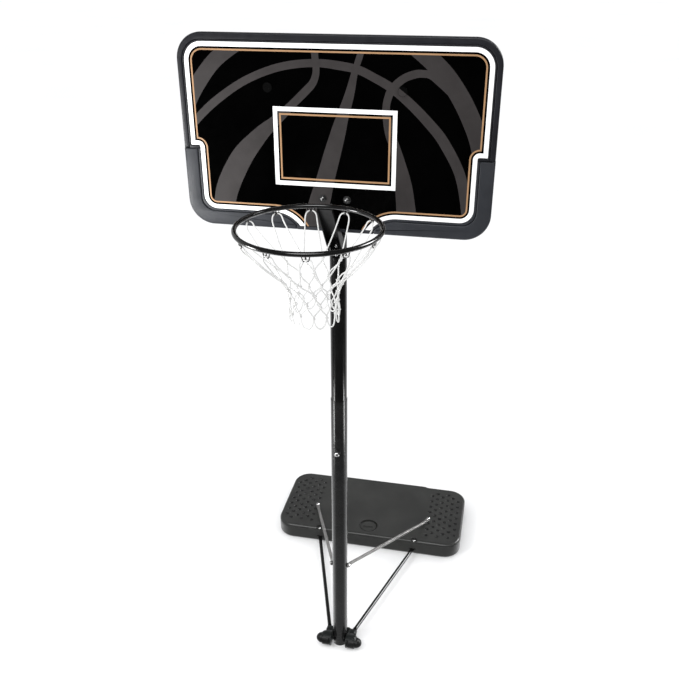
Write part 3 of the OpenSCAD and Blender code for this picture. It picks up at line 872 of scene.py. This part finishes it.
def make_net():
    """One closed cord through all the hooks, and the wraps at its crossings."""
    knots = make_knots()
    here = 0
    points = []
    for _ in range(HOOKS):
        there = (here + len(ROW_DEPTHS) + 1) % HOOKS
        down, angle, depth = strand(knots, here, 1)
        rising, end_angle, end_depth = strand(knots, there, -1)
        points += down + hem(angle, depth, end_angle, end_depth) + rising[:0:-1]
        here = there
    loops = [cord_rings([tuple(p) for p in points], 10)]
    loops += [knot_rings(round_ring(angle, net_radius(d), d)) for angle, d in knots.values()]
    return loft("net_cords", loops, closed_path=True, sharp=80)


# Right half of a hook's wire, as [along the ring, below its centre]
HOOK_WIRE = [(0, 9.4), (0.6, 12), (2.6, 17.5), (5.2, 21.4), (7.8, 20.6), (9.8, 16), (11.2, 11),
             (11.8, 8.2)]
HOOK_R = 236.6
HOOK_WIRE_R = 1.9 * MM


def make_hooks():
    """Twelve wire hooks, bent like a W and welded under the ring."""
    hooks = []
    for i in range(HOOKS):
        angle = HOOK_START + 360 / HOOKS * i
        half = [round_ring(angle, HOOK_R, depth, along) for along, depth in HOOK_WIRE]
        other = [round_ring(angle, HOOK_R, depth, -along) for along, depth in HOOK_WIRE[:0:-1]]
        line = [Vector(p) for p in smooth_path([tuple(p) for p in other + half], 3)]
        hooks.append(tube_rings(line, HOOK_WIRE_R, 8))
    return loft("net_hook_wires", hooks, sharp=60)


piece(make_net(), "cord", "head", "net_cord", "net")
piece(make_hooks(), "rim", "head", "hook_paint", "net_hooks")


# ---------- struts and tie rods ----------

# The bars' flats as (width, thickness), their tubes' radii and their bolt holes' radii
STRUT_FLAT = (22 * MM, 4 * MM)
STRUT_R = 8 * MM
STRUT_HOLES = (4.3 * MM, 5.3 * MM)
ROD_FLAT = (21 * MM, 4 * MM)
ROD_R = 9.5 * MM
ROD_HOLES = (4.3 * MM, 4.3 * MM)
# Half width of the CAD model's bars at a bolt
STRUT_EYE = 11
ROD_EYE = 13
# Where a strut's tube starts, from its pole bolt and from its tank bolt
STRUT_TUBE = (Vector((6, 40, -18)) * MM, Vector((-19, -56, 12.5)) * MM)
# Where a tie rod's tube starts, from its foot bolt and from its tank bolt
ROD_TUBE = (34 * MM, 52 * MM)
# A section's squareness, from 2 for round to 8 for flat
ROUND, SQUARE = 2, 8
TIP_TURNS = (8, 25, 42, 58, 74, 90)
NECK_STEPS = (0.0, 0.2, 0.4, 0.6, 0.8, 1.0)
DRILL_REACH = 0.02


def smooth_step(t):
    """0 to 1 with a soft start and end."""
    return t * t * (3 - 2 * t)


def flat_station(centre, ahead, normal, half_width, half_thick, square):
    """Ring of a bar that is between round and flat."""
    normal = (normal - ahead * normal.dot(ahead)).normalized()
    across = ahead.cross(normal)
    ring = []
    for i in range(24):
        a = 2 * math.pi * i / 24
        c, s = math.cos(a), math.sin(a)
        u = math.copysign(abs(c) ** (2 / square), c) * half_width
        v = math.copysign(abs(s) ** (2 / square), s) * half_thick
        ring.append(centre + across * u + normal * v)
    return ring


def flat_tip(tip, ahead, normal, half_width, half_thick):
    """Rings of a rounded flat end, from its tip to where it has its full width."""
    rings = []
    for degrees in TIP_TURNS:
        a = math.radians(degrees)
        centre = tip + ahead * half_width * (1 - math.cos(a))
        rings.append(flat_station(centre, ahead, normal, half_width * math.sin(a), half_thick,
                                  SQUARE))
    return rings


def flat_end(end, start, way, normal, flat, radius):
    """Rings of a bar from its flat tip round the bolt at end to its tube at start.

    way is the direction of the tube away from this end."""
    half_width, half_thick = flat[0] / 2, flat[1] / 2
    ahead = start - end
    ahead -= normal * ahead.dot(normal)
    ahead.normalize()
    rings = flat_tip(end - ahead * half_width, ahead, normal, half_width, half_thick)
    neck = end + ahead * half_width * 0.9
    for t in NECK_STEPS:
        ease = smooth_step(t)
        wide = half_width + (radius - half_width) * ease
        thick = half_thick + (radius - half_thick) * ease
        rings.append(flat_station(neck.lerp(start, t), ahead.lerp(way, ease).normalized(), normal,
                                  wide, thick, SQUARE - (SQUARE - ROUND) * ease ** 0.5))
    return rings


def flat_ended_tube(name, ends, starts, normals, flat, radius, holes):
    """Tube with a flattened end at each bolt, drilled for it.

    ends are the bolts' places, starts those where the tube is round."""
    way = (starts[1] - starts[0]).normalized()
    first = flat_end(ends[0], starts[0], way, normals[0], flat, radius)
    last = flat_end(ends[1], starts[1], -way, normals[1], flat, radius)
    last = [turn_ring(ring) for ring in reversed(last)]
    made = loft(name, [first + align_ring(first[-1], last)])
    for end, normal, hole in zip(ends, normals, holes):
        reach = normal * DRILL_REACH
        drill = tube_rings([end - reach, end + reach], hole, 24)
        made = boolean(made, loft("drill", [drill]), "DIFFERENCE")
    return made


def turn_ring(ring):
    """The same ring, run the other way round."""
    return ring[:1] + ring[:0:-1]


def align_ring(target, rings):
    """Starts every ring at the point that lies nearest to the target ring's first one."""
    count = len(target)

    def gap(shift):
        return sum((target[i] - rings[0][(i + shift) % count]).length for i in range(count))

    best = min(range(count), key=gap)
    return [ring[best:] + ring[:best] for ring in rings]


def right_strut():
    """Strut from a bolt across the pole to one down through the tank."""
    low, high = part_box("right_strut")
    eye, middle = STRUT_EYE * MM, STRUT_FLAT[1] / 2
    bolts = [Vector((low.x + middle, low.y + eye, high.z - eye)),
             Vector((high.x - eye, high.y - eye, low.z + middle))]
    tube = [bolt + start for bolt, start in zip(bolts, STRUT_TUBE)]
    return flat_ended_tube("right_strut_bar", bolts, tube, [RIGHT, UP], STRUT_FLAT, STRUT_R,
                           STRUT_HOLES)


def right_tie_rod():
    """Level rod from a bolt at the foot to one in the tank's front edge."""
    low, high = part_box("right_tie_rod")
    eye, middle = ROD_EYE * MM, (low.z + high.z) / 2
    bolts = [Vector((low.x + eye, low.y + eye, middle)),
             Vector((high.x - eye, high.y - eye, middle))]
    along = (bolts[1] - bolts[0]).normalized()
    tube = [bolts[0] + along * ROD_TUBE[0], bolts[1] - along * ROD_TUBE[1]]
    return flat_ended_tube("right_tie_rod_bar", bolts, tube, [UP, UP], ROD_FLAT, ROD_R, ROD_HOLES)


for build, kind, slot in ((right_strut, "strut", "strut_steel"),
                          (right_tie_rod, "tie_rod", "rod_paint")):
    right = build()
    left = mirror_x(right, "left_" + kind + "_bar")
    piece(right, kind, "base", slot, "right_" + kind)
    piece(left, kind, "base", slot, "left_" + kind)


# ---------- foot ----------

# Foot lengths are in millimetres
carriage_low, carriage_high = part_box("wheel_carriage")
axle_low, axle_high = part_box("wheel_axles")
foot_bolt_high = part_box("tie_rod_foot_bolts")[1]
CARRIAGE_BACK = carriage_high.y / MM
CARRIAGE_LOW = carriage_low.z / MM
HOOD_END = carriage_high.x / MM
AXLE_Y = (axle_low.y + axle_high.y) / 2 / MM
AXLE_Z = (axle_low.z + axle_high.z) / 2 / MM
AXLE_HOLE = (axle_high.z - axle_low.z) / 2 / MM
WHEEL_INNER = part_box("right_wheel")[0].x / MM
FOOT_BOLT = (foot_bolt_high.x / MM - 8, foot_bolt_high.y / MM - 8)
FOOT_BOLT_HOLE = 4.6
CHEEK_IN = WHEEL_INNER - 10
CHEEK_OUT = WHEEL_INNER - 2
CHEEK_TOP = 50
# How far the cheek's nose stays inside the hood, and the radii of its rear corners
NOSE_IN = 7
REAR_TOP_R = 8
REAR_LOW_R = 4
# Outside of a wheel hood from the cheek to its outer end, as [X from the end, drop]
HOOD_SHAPE = [(45, 0), (30, 0), (22, 0.4), (15, 1.4), (10, 2.8), (6, 4.4), (3, 6.4), (1, 8.4),
              (0, 10.4)]
HOOD_R = carriage_high.z / MM - AXLE_Z
HOOD_SKIN = 2.8
HOOD_STEPS = 28
# How far the hood reaches forwards and backwards, in degrees from the top
HOOD_FRONT = -36
HOOD_REAR = 122
# The housing over a rod's end: its reach from the bolt, its corner, its skin and its floor
COVER_OUT = 18
COVER_FRONT = 21
COVER_OVER = 3.5
COVER_SOFT = 12
COVER_IN = 2.5
COVER_FLOOR = CARRIAGE_LOW + 23
# Outer end of that housing, as [X from the end, drop]
COVER_SHAPE = [(12, 0), (8, 1.2), (4, 3.6), (1.5, 7), (0, 11.5)]
WALL_THICK = 10
SCREW_Z = CARRIAGE_LOW + 21
SCREW_HOLE = 3.4


def hood_rings():
    """Fender over a wheel, rounded at its outer end, and open at the front and below."""
    outer = [(HOOD_END - x, HOOD_R - drop) for x, drop in HOOD_SHAPE]
    profile = outer + [(x, radius - HOOD_SKIN) for x, radius in reversed(outer)]
    rings = []
    for i in range(HOOD_STEPS + 1):
        turn = math.radians(HOOD_FRONT + (HOOD_REAR - HOOD_FRONT) * i / HOOD_STEPS)
        rings.append([
            Vector((x, AXLE_Y + r * math.sin(turn), AXLE_Z + r * math.cos(turn))) * MM
            for x, r in profile
        ])
    return rings


def cheek_path(inset):
    """Side view of a cheek plate, with its front round the axle."""
    low, top, back = CARRIAGE_LOW + inset, CHEEK_TOP - inset, CARRIAGE_BACK - inset
    nose = HOOD_R - NOSE_IN - inset
    dip = math.degrees(math.asin((low - AXLE_Z) / nose))
    edge = -270 - HOOD_FRONT
    path = arc(AXLE_Y, AXLE_Z, nose, -180 - dip, edge, 14)
    path += arc(AXLE_Y, AXLE_Z, HOOD_R - inset, edge - 2, -330, 16)
    path += arc(back - REAR_TOP_R, top - REAR_TOP_R, REAR_TOP_R, 90, 0, 6)
    return path + arc(back - REAR_LOW_R, low + REAR_LOW_R, REAR_LOW_R, 0, -90, 4)


def cheek_rings():
    stations = [(CHEEK_IN, 1), (CHEEK_IN + 1, 0), (CHEEK_OUT - 1, 0), (CHEEK_OUT, 1)]
    return [crosswise_ring(x, cheek_path(inset)) for x, inset in stations]


def cover_path(grow, front, rear, floor):
    """Side view of the rounded housing over a tie rod's end."""
    top = foot_bolt_high.z / MM + COVER_OVER + grow
    soft = COVER_SOFT + grow
    path = arc(front + soft, top - soft, soft, 180, 90, 8)
    return path + [(FOOT_BOLT[1] + 8, top), (rear, top - 4), (rear, floor), (front, floor)]


def cover_rings(grow, floor, rear):
    """Housing over a tie rod's end, rounded towards its outer side."""
    outer = FOOT_BOLT[0] + COVER_OUT + grow
    front = FOOT_BOLT[1] - COVER_FRONT - grow
    rings = []
    for x, drop in [(CHEEK_OUT - 1, 0)] + [(outer - x, drop) for x, drop in COVER_SHAPE]:
        side = cover_path(grow, front + drop * 0.7, rear, floor)
        rings.append(crosswise_ring(x, [(y, max(z - drop, floor)) for y, z in side]))
    return rings


def rod_space():
    """The hollow under a rod's housing, from the cheek outwards and open behind."""
    wall = (CHEEK_OUT + 0.4) * MM
    rings = cover_rings(-COVER_IN, COVER_FLOOR + 8, CARRIAGE_BACK + 9)
    return [[Vector((max(p.x, wall), p.y, p.z)) for p in ring] for ring in rings]


def half_foot():
    """The right cheek with its hood and rod housing, bored for the axle and the rod's bolt."""
    half = loft("foot_moulding", [cheek_rings()], sharp=30)
    half = boolean(half, loft("hood", [hood_rings()], sharp=30), "UNION", 30)
    cover = loft("cover", [cover_rings(0, COVER_FLOOR, CARRIAGE_BACK - 2)])
    half = boolean(half, cover, "UNION", 30)
    half = boolean(half, loft("space", [rod_space()]), "DIFFERENCE", 30)
    axle = whole_circle(AXLE_Y, AXLE_Z, AXLE_HOLE)
    holes = [
        column(whole_circle(*FOOT_BOLT, FOOT_BOLT_HOLE), 0, COVER_FLOOR + 9),
        [crosswise_ring(CHEEK_IN - 3, axle), crosswise_ring(CHEEK_OUT + 3, axle)],
    ]
    return boolean(half, loft("holes", holes), "DIFFERENCE", 30)


def make_foot():
    """Wheel carriage: cheeks, wheel hoods, rod covers and the cross wall behind the pole."""
    half = half_foot()
    whole = boolean(half, mirror_x(half, "foot_other_half"), "UNION", 30)
    front, back = CARRIAGE_BACK - WALL_THICK, CARRIAGE_BACK - 0.5
    low, high = CARRIAGE_LOW + 0.5, CHEEK_TOP - 2
    wall = [(front, low), (back, low), (back, high), (front, high)]
    wall_rings = [crosswise_ring(x, wall) for x in (-CHEEK_IN - 2, CHEEK_IN + 2)]
    whole = boolean(whole, loft("wall", [wall_rings]), "UNION", 30)
    screw = whole_circle(0, SCREW_Z, SCREW_HOLE)
    bore = [[Vector((x, y, z)) * MM for x, z in screw] for y in (20, CARRIAGE_BACK + 4)]
    return boolean(whole, loft("bore", [bore]), "DIFFERENCE", 30)


piece(make_foot(), "foot", "base", "foot_plastic", "wheel_carriage")


# ---------- base tank ----------

# Tank lengths are in millimetres
tank_low, tank_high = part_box("tank")
rod_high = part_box("right_tie_rod")[1]
strut_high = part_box("right_strut")[1]
cap_low, cap_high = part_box("filler_cap")
TANK_HALF = tank_high.x / MM
TANK_FRONT = tank_low.y / MM
TANK_TOP = tank_high.z / MM
TANK_R = 95
FILLET = 14
# Cutters stand this far above the top of the tank
OVER = TANK_TOP + 5
# The rear's bulge: its depth, its end from the middle and the width of its slope
REAR_BULGE = 8
BULGE_END = 298
BULGE_EASE = 26
BULGE_STATIONS = (300, 292, 284, 276, 268, 180, 90)
TANK_REAR = tank_high.y / MM - REAR_BULGE
# The groove under the top fillet, as [depth, height from the fillet's foot]
GROOVE = [(0, -4.2), (0.4, -3.6), (1.6, -2.9), (1.6, -1.4), (0.4, -0.7)]
# A dimple of the grip from its mouth down, as [radius, height from the tank's top]
DIMPLE = [(11.4, 1.0), (10.6, -0.4), (9.8, -2.4), (8.2, -4.4), (5.4, -5.6), (1.8, -6.0)]
GRIP_COLUMNS, GRIP_ROWS = 6, 8
GRIP_PITCH = (31, 52)
GRIP_START = (2, 66)
# Bare margins of the grip: round a strut's bolt, and along the tank's edge
BOLT_MARGIN = 34
EDGE_MARGIN = 32
# Faces between these depths lie in a dimple, and get the darker material of painted shade
PIT_DEPTHS = (1.2, 6.2)
# Strut bolts go right through, with a pocket (radius, top) for the nut below
STRUT_BOLT = (strut_high.x / MM - STRUT_EYE, strut_high.y / MM - STRUT_EYE)
STRUT_BOLT_HOLE = 5.4
NUT_POCKET = (12, 12)
# Rod bolts stand in a notch of the front edge, over the rod's slit and the nut's hole
ROD_BOLT = (rod_high.x / MM - ROD_EYE, rod_high.y / MM - ROD_EYE)
NOTCH_R = 17
NOTCH_FLOOR = TANK_TOP - 9
SLIT_LOW, SLIT_HIGH = 33.2, 38.8
ROD_BOLT_HOLE = 4.4
ROD_NUT_HOLE = 8.6
FILLER_Y = (cap_low.y + cap_high.y) / 2 / MM
RECESS_R = 52
RECESS_FLOOR = TANK_TOP - 13
NECK_R = 30
NECK_FLOOR = 20


def tank_outline(inset):
    """Outline of the tank seen from above, moved inwards."""
    radius, rear = TANK_R - inset, TANK_REAR - inset
    x = TANK_HALF - TANK_R
    path = arc(x, TANK_FRONT + TANK_R, radius, -90, 0, 14)
    path += arc(x, TANK_REAR - TANK_R, radius, 0, 90, 14)
    for u in BULGE_STATIONS:
        ease = smooth_step(min(max((BULGE_END - u) / BULGE_EASE, 0), 1))
        path.append((u, rear + REAR_BULGE * ease))
    return path + [(0, rear + REAR_BULGE)] + flipped(reversed(path))


def tank_body():
    """Blown slab with rounded edges and a parting groove under its top edge."""
    turns = [math.radians(90 * i / 7) for i in range(8)]
    shape = [(FILLET + 3, 0)]
    shape += [(FILLET * (1 - math.sin(a)), FILLET * (1 - math.cos(a))) for a in turns]
    foot = TANK_TOP - FILLET
    shape += [(depth, foot + z) for depth, z in GROOVE]
    shape += [(FILLET * (1 - math.cos(a)), foot + FILLET * math.sin(a)) for a in turns]
    shape.append((FILLET + 3, TANK_TOP))
    return loft("tank_moulding", [[level_ring(tank_outline(i), z) for i, z in shape]], sharp=50)


def dimple(x, y):
    """Cutter for one round dimple of the foot grip."""
    return [level_ring(whole_circle(x, y, radius, 16), TANK_TOP + z) for radius, z in DIMPLE]


def in_grip(x, y):
    """True where the grip has a dimple: clear of the strut's bolt and of the tank's edge."""
    corner_x = max(x - (TANK_HALF - TANK_R), 0)
    corner_y = max(y - (TANK_REAR - TANK_R), (TANK_FRONT + TANK_R) - y, 0)
    near_bolt = math.hypot(x - STRUT_BOLT[0], y - STRUT_BOLT[1]) < BOLT_MARGIN
    return math.hypot(corner_x, corner_y) < TANK_R - EDGE_MARGIN and not near_bolt


def grip_dimples():
    """Cutters for the staggered dimples at both ends of the tank."""
    cutters = []
    for col in range(GRIP_COLUMNS):
        x = STRUT_BOLT[0] + GRIP_START[0] + GRIP_PITCH[0] * col
        for row in range(GRIP_ROWS):
            y = TANK_FRONT + GRIP_START[1] + GRIP_PITCH[1] * row + GRIP_PITCH[1] / 2 * (col % 2)
            if in_grip(x, y):
                cutters += [dimple(x, y), dimple(-x, y)]
    return cutters


def side_cutters(side):
    """Cutters for the bolts of one side, 1 or -1, in the three rounds of cuts."""
    x, y = ROD_BOLT
    notch = arc(x, y, NOTCH_R, 0, 180, 20)
    notch += [(x - NOTCH_R, TANK_FRONT - 20), (x + NOTCH_R, TANK_FRONT - 20)]
    slit = [(x - 26, TANK_FRONT - 10), (x + 16, TANK_FRONT - 10), (x + 16, y + 15),
            (x - 18, y + 15)]
    notch, slit = ([(side * px, py) for px, py in path] for path in (notch, slit))
    bolt = (side * STRUT_BOLT[0], STRUT_BOLT[1])
    pocket_r, pocket_top = NUT_POCKET
    return (
        [column(notch, NOTCH_FLOOR, OVER), column(whole_circle(*bolt, STRUT_BOLT_HOLE), -5, OVER)],
        [column(whole_circle(side * x, y, ROD_NUT_HOLE), 22, 36),
         column(whole_circle(side * x, y, ROD_BOLT_HOLE), 36.5, NOTCH_FLOOR + 2)],
        [column(whole_circle(*bolt, pocket_r), -5, pocket_top), column(slit, SLIT_LOW, SLIT_HIGH)],
    )


def make_tank():
    """The tank with its grip, the filler's recess and neck, and its cuts for the bolts."""
    recess = column(whole_circle(0, FILLER_Y, RECESS_R, 48), RECESS_FLOOR, OVER)
    neck = column(whole_circle(0, FILLER_Y, NECK_R, 32), NECK_FLOOR, RECESS_FLOOR + 2)
    rounds = [grip_dimples() + [recess], [neck], []]
    for side in (1, -1):
        for cutters, more in zip(rounds, side_cutters(side)):
            cutters += more
    tank = tank_body()
    for cutters in rounds:
        tank = boolean(tank, loft("cutter", cutters), "DIFFERENCE", 15)
    return tank


def shade_pits(tank):
    """Second, darker material in the grip dimples: painted shade in the recesses."""
    tank.data.materials.append(mats["grip"])
    low, high = (TANK_TOP - PIT_DEPTHS[1]) * MM, (TANK_TOP - PIT_DEPTHS[0]) * MM
    for face in tank.data.polygons:
        x, y, z = face.center
        x, y = abs(x) / MM, y / MM
        inside = TANK_FRONT + 40 < y < TANK_REAR - 40 and x < TANK_HALF - 30
        if inside and low < z < high and x > STRUT_BOLT[0] - 20:
            in_bolt_hole = math.hypot(x - STRUT_BOLT[0], y - STRUT_BOLT[1]) < 8
            face.material_index = 0 if in_bolt_hole else 1


tank_piece = piece(make_tank(), "tank", "base", "tank_plastic", "tank")
shade_pits(tank_piece)


# ---------- stage ----------

# Brightness that soft surfaces see, the same all round
DIFFUSE_LEVEL = 1.12
SKY_TINT = (0.985, 0.99, 1.0, 1)
# Level direction from which the court's side is dark in glossy surfaces
COURTWARD = (0.21, -0.978)
# Sine of the elevation where the mirrored floor changes from far to near
FAR_FLOOR = (-0.50, -0.66)
STEEP_FLOOR = (-0.58, -0.70)
# Brightness of the mirrored floor at the sides, far and near, and straight below
SIDE_HIGH = 0.75
SIDE_LOW = 1.5
FLOOR_DARK = 0.03
NEAR_FLOOR = 0.45
# Brightness of the mirrored sky over the court and behind, and its share at the top
SKY_FRONT = 0.15
SKY_BACK = 0.48
SKY_TOP = 0.2
# Lamps that only glossy surfaces see, as [direction, cosine of its edge, brightness]
LAMPS = [((0.0, -0.63, 0.777), 0.955, 5.0), ((0.76, 0.44, 0.47), 0.965, 26.0)]
# Soft lights, as [name, place, target, size, watts]
CARDS = [
    ("front_softbox", (0.4, -3.4, 5.2), (0, 0, 1.2), (3.2, 1.6), 60),
    ("left_fill", (-1.35, -0.9, 2.0), (-0.5, -0.05, 2.2), (0.4, 0.7), 26),
    ("left_strip", (-1.07, -0.55, 0.60), (0, 0, 1.33), (0.30, 0.30), 3),
    ("right_strip", (1.20, -0.06, 0.60), (0, 0, 1.33), (0.30, 0.30), 3),
]
FLOOR_HALF = 60
FLOOR_TONES = (0.90, 0.93)


def add_card(name, centre, target, size, strength):
    """Soft rectangular light that faces a target."""
    data = bpy.data.lights.new(name, "AREA")
    data.shape = "RECTANGLE"
    data.size, data.size_y = size
    data.energy = strength
    card = linked(name, data)
    card.location = centre
    aim = Vector(target) - Vector(centre)
    card.rotation_euler = aim.to_track_quat("-Z", "Y").to_euler()
    card.visible_camera = False


def maths(tree, kind, one, two=0.0):
    return node(tree, "ShaderNodeMath", {0: one, 1: two}, operation=kind).outputs["Value"]


def towards(tree, direction, along):
    """How far a direction, as three sockets, points along another one, as numbers."""
    total = maths(tree, "MULTIPLY", direction[0], along[0])
    for part, share in zip(direction[1:], along[1:]):
        total = maths(tree, "ADD", total, maths(tree, "MULTIPLY", part, share))
    return total


def glossy_floor(tree, courtward, z):
    """Brightness below the horizon: dark towards the court, bright at both sides and behind."""
    start = spread(tree, z, *FAR_FLOOR, 0.0, 0.95)
    end = spread(tree, z, *FAR_FLOOR, -0.50, -0.30)
    sides = maths(tree, "POWER", spread(tree, courtward, start, end, 0.0, 1.0), 1.3)
    sides = maths(tree, "MULTIPLY", sides, spread(tree, z, *FAR_FLOOR, SIDE_HIGH, SIDE_LOW))
    steep = spread(tree, z, *STEEP_FLOOR, FLOOR_DARK, NEAR_FLOOR)
    return maths(tree, "MAXIMUM", sides, steep)


def glossy_sky(tree, courtward, direction):
    """Brightness above the horizon: dim over the court and at the top, with the lamps."""
    behind = spread(tree, courtward, 0.4, -0.6, SKY_FRONT, SKY_BACK)
    sky = maths(tree, "MULTIPLY", behind, spread(tree, direction[2], 0.3, 0.95, 1.0, SKY_TOP))
    for aim, edge, level in LAMPS:
        facing = towards(tree, direction, aim)
        sky = maths(tree, "ADD", sky, spread(tree, facing, edge, edge + 0.02, 0.0, level))
    return sky


def mixed(tree, share, one, other):
    """The first of two values where share is 1, and the other where it is 0."""
    rest = maths(tree, "SUBTRACT", 1.0, share)
    return maths(tree, "ADD", maths(tree, "MULTIPLY", one, share),
                 maths(tree, "MULTIPLY", other, rest))


def make_world():
    """Even studio light for soft surfaces, and a darker one with lamps for glossy ones, which
    also see a floor of light below the horizon, since they don't see the floor itself."""
    world = bpy.data.worlds.new("studio")
    bpy.context.scene.world = world
    world.use_nodes = True
    tree = world.node_tree
    coords = node(tree, "ShaderNodeTexCoord").outputs["Generated"]
    split = node(tree, "ShaderNodeSeparateXYZ", {"Vector": coords})
    direction = x, y, z = [split.outputs[axis] for axis in "XYZ"]
    level_share = maths(tree, "SUBTRACT", 1.0, maths(tree, "MULTIPLY", z, z))
    level_share = maths(tree, "MAXIMUM", maths(tree, "SQRT", level_share), 0.05)
    courtward = maths(tree, "DIVIDE", towards(tree, (x, y), COURTWARD), level_share)
    seen = mixed(tree, spread(tree, z, -0.02, 0.02, 0.0, 1.0),
                 glossy_sky(tree, courtward, direction), glossy_floor(tree, courtward, z))
    glossy = node(tree, "ShaderNodeLightPath").outputs["Is Glossy Ray"]
    back = tree.nodes["Background"]
    back.inputs["Color"].default_value = SKY_TINT
    tree.links.new(mixed(tree, glossy, seen, DIFFUSE_LEVEL), back.inputs["Strength"])


def make_floor():
    """Pale floor that glossy surfaces don't see."""
    size = FLOOR_HALF
    floor = mesh_object("floor", [
        Vector((-size, -size, 0)), Vector((size, -size, 0)),
        Vector((size, size, 0)), Vector((-size, size, 0)),
    ], [(0, 1, 2, 3)])
    mat, tree, shader = new_material("pale_floor")
    shade = spread(tree, noise(tree, 0.6, 2.0), *WEAR_RANGE, *FLOOR_TONES)
    tree.links.new(shade, shader.inputs["Base Color"])
    shader.inputs["Roughness"].default_value = 0.8
    shader.inputs["Specular IOR Level"].default_value = 0.0
    floor.data.materials.append(mat)
    floor.visible_glossy = False


make_world()
make_floor()
for card in CARDS:
    add_card(*card)
bpy.context.scene.view_settings.view_transform = "Standard"
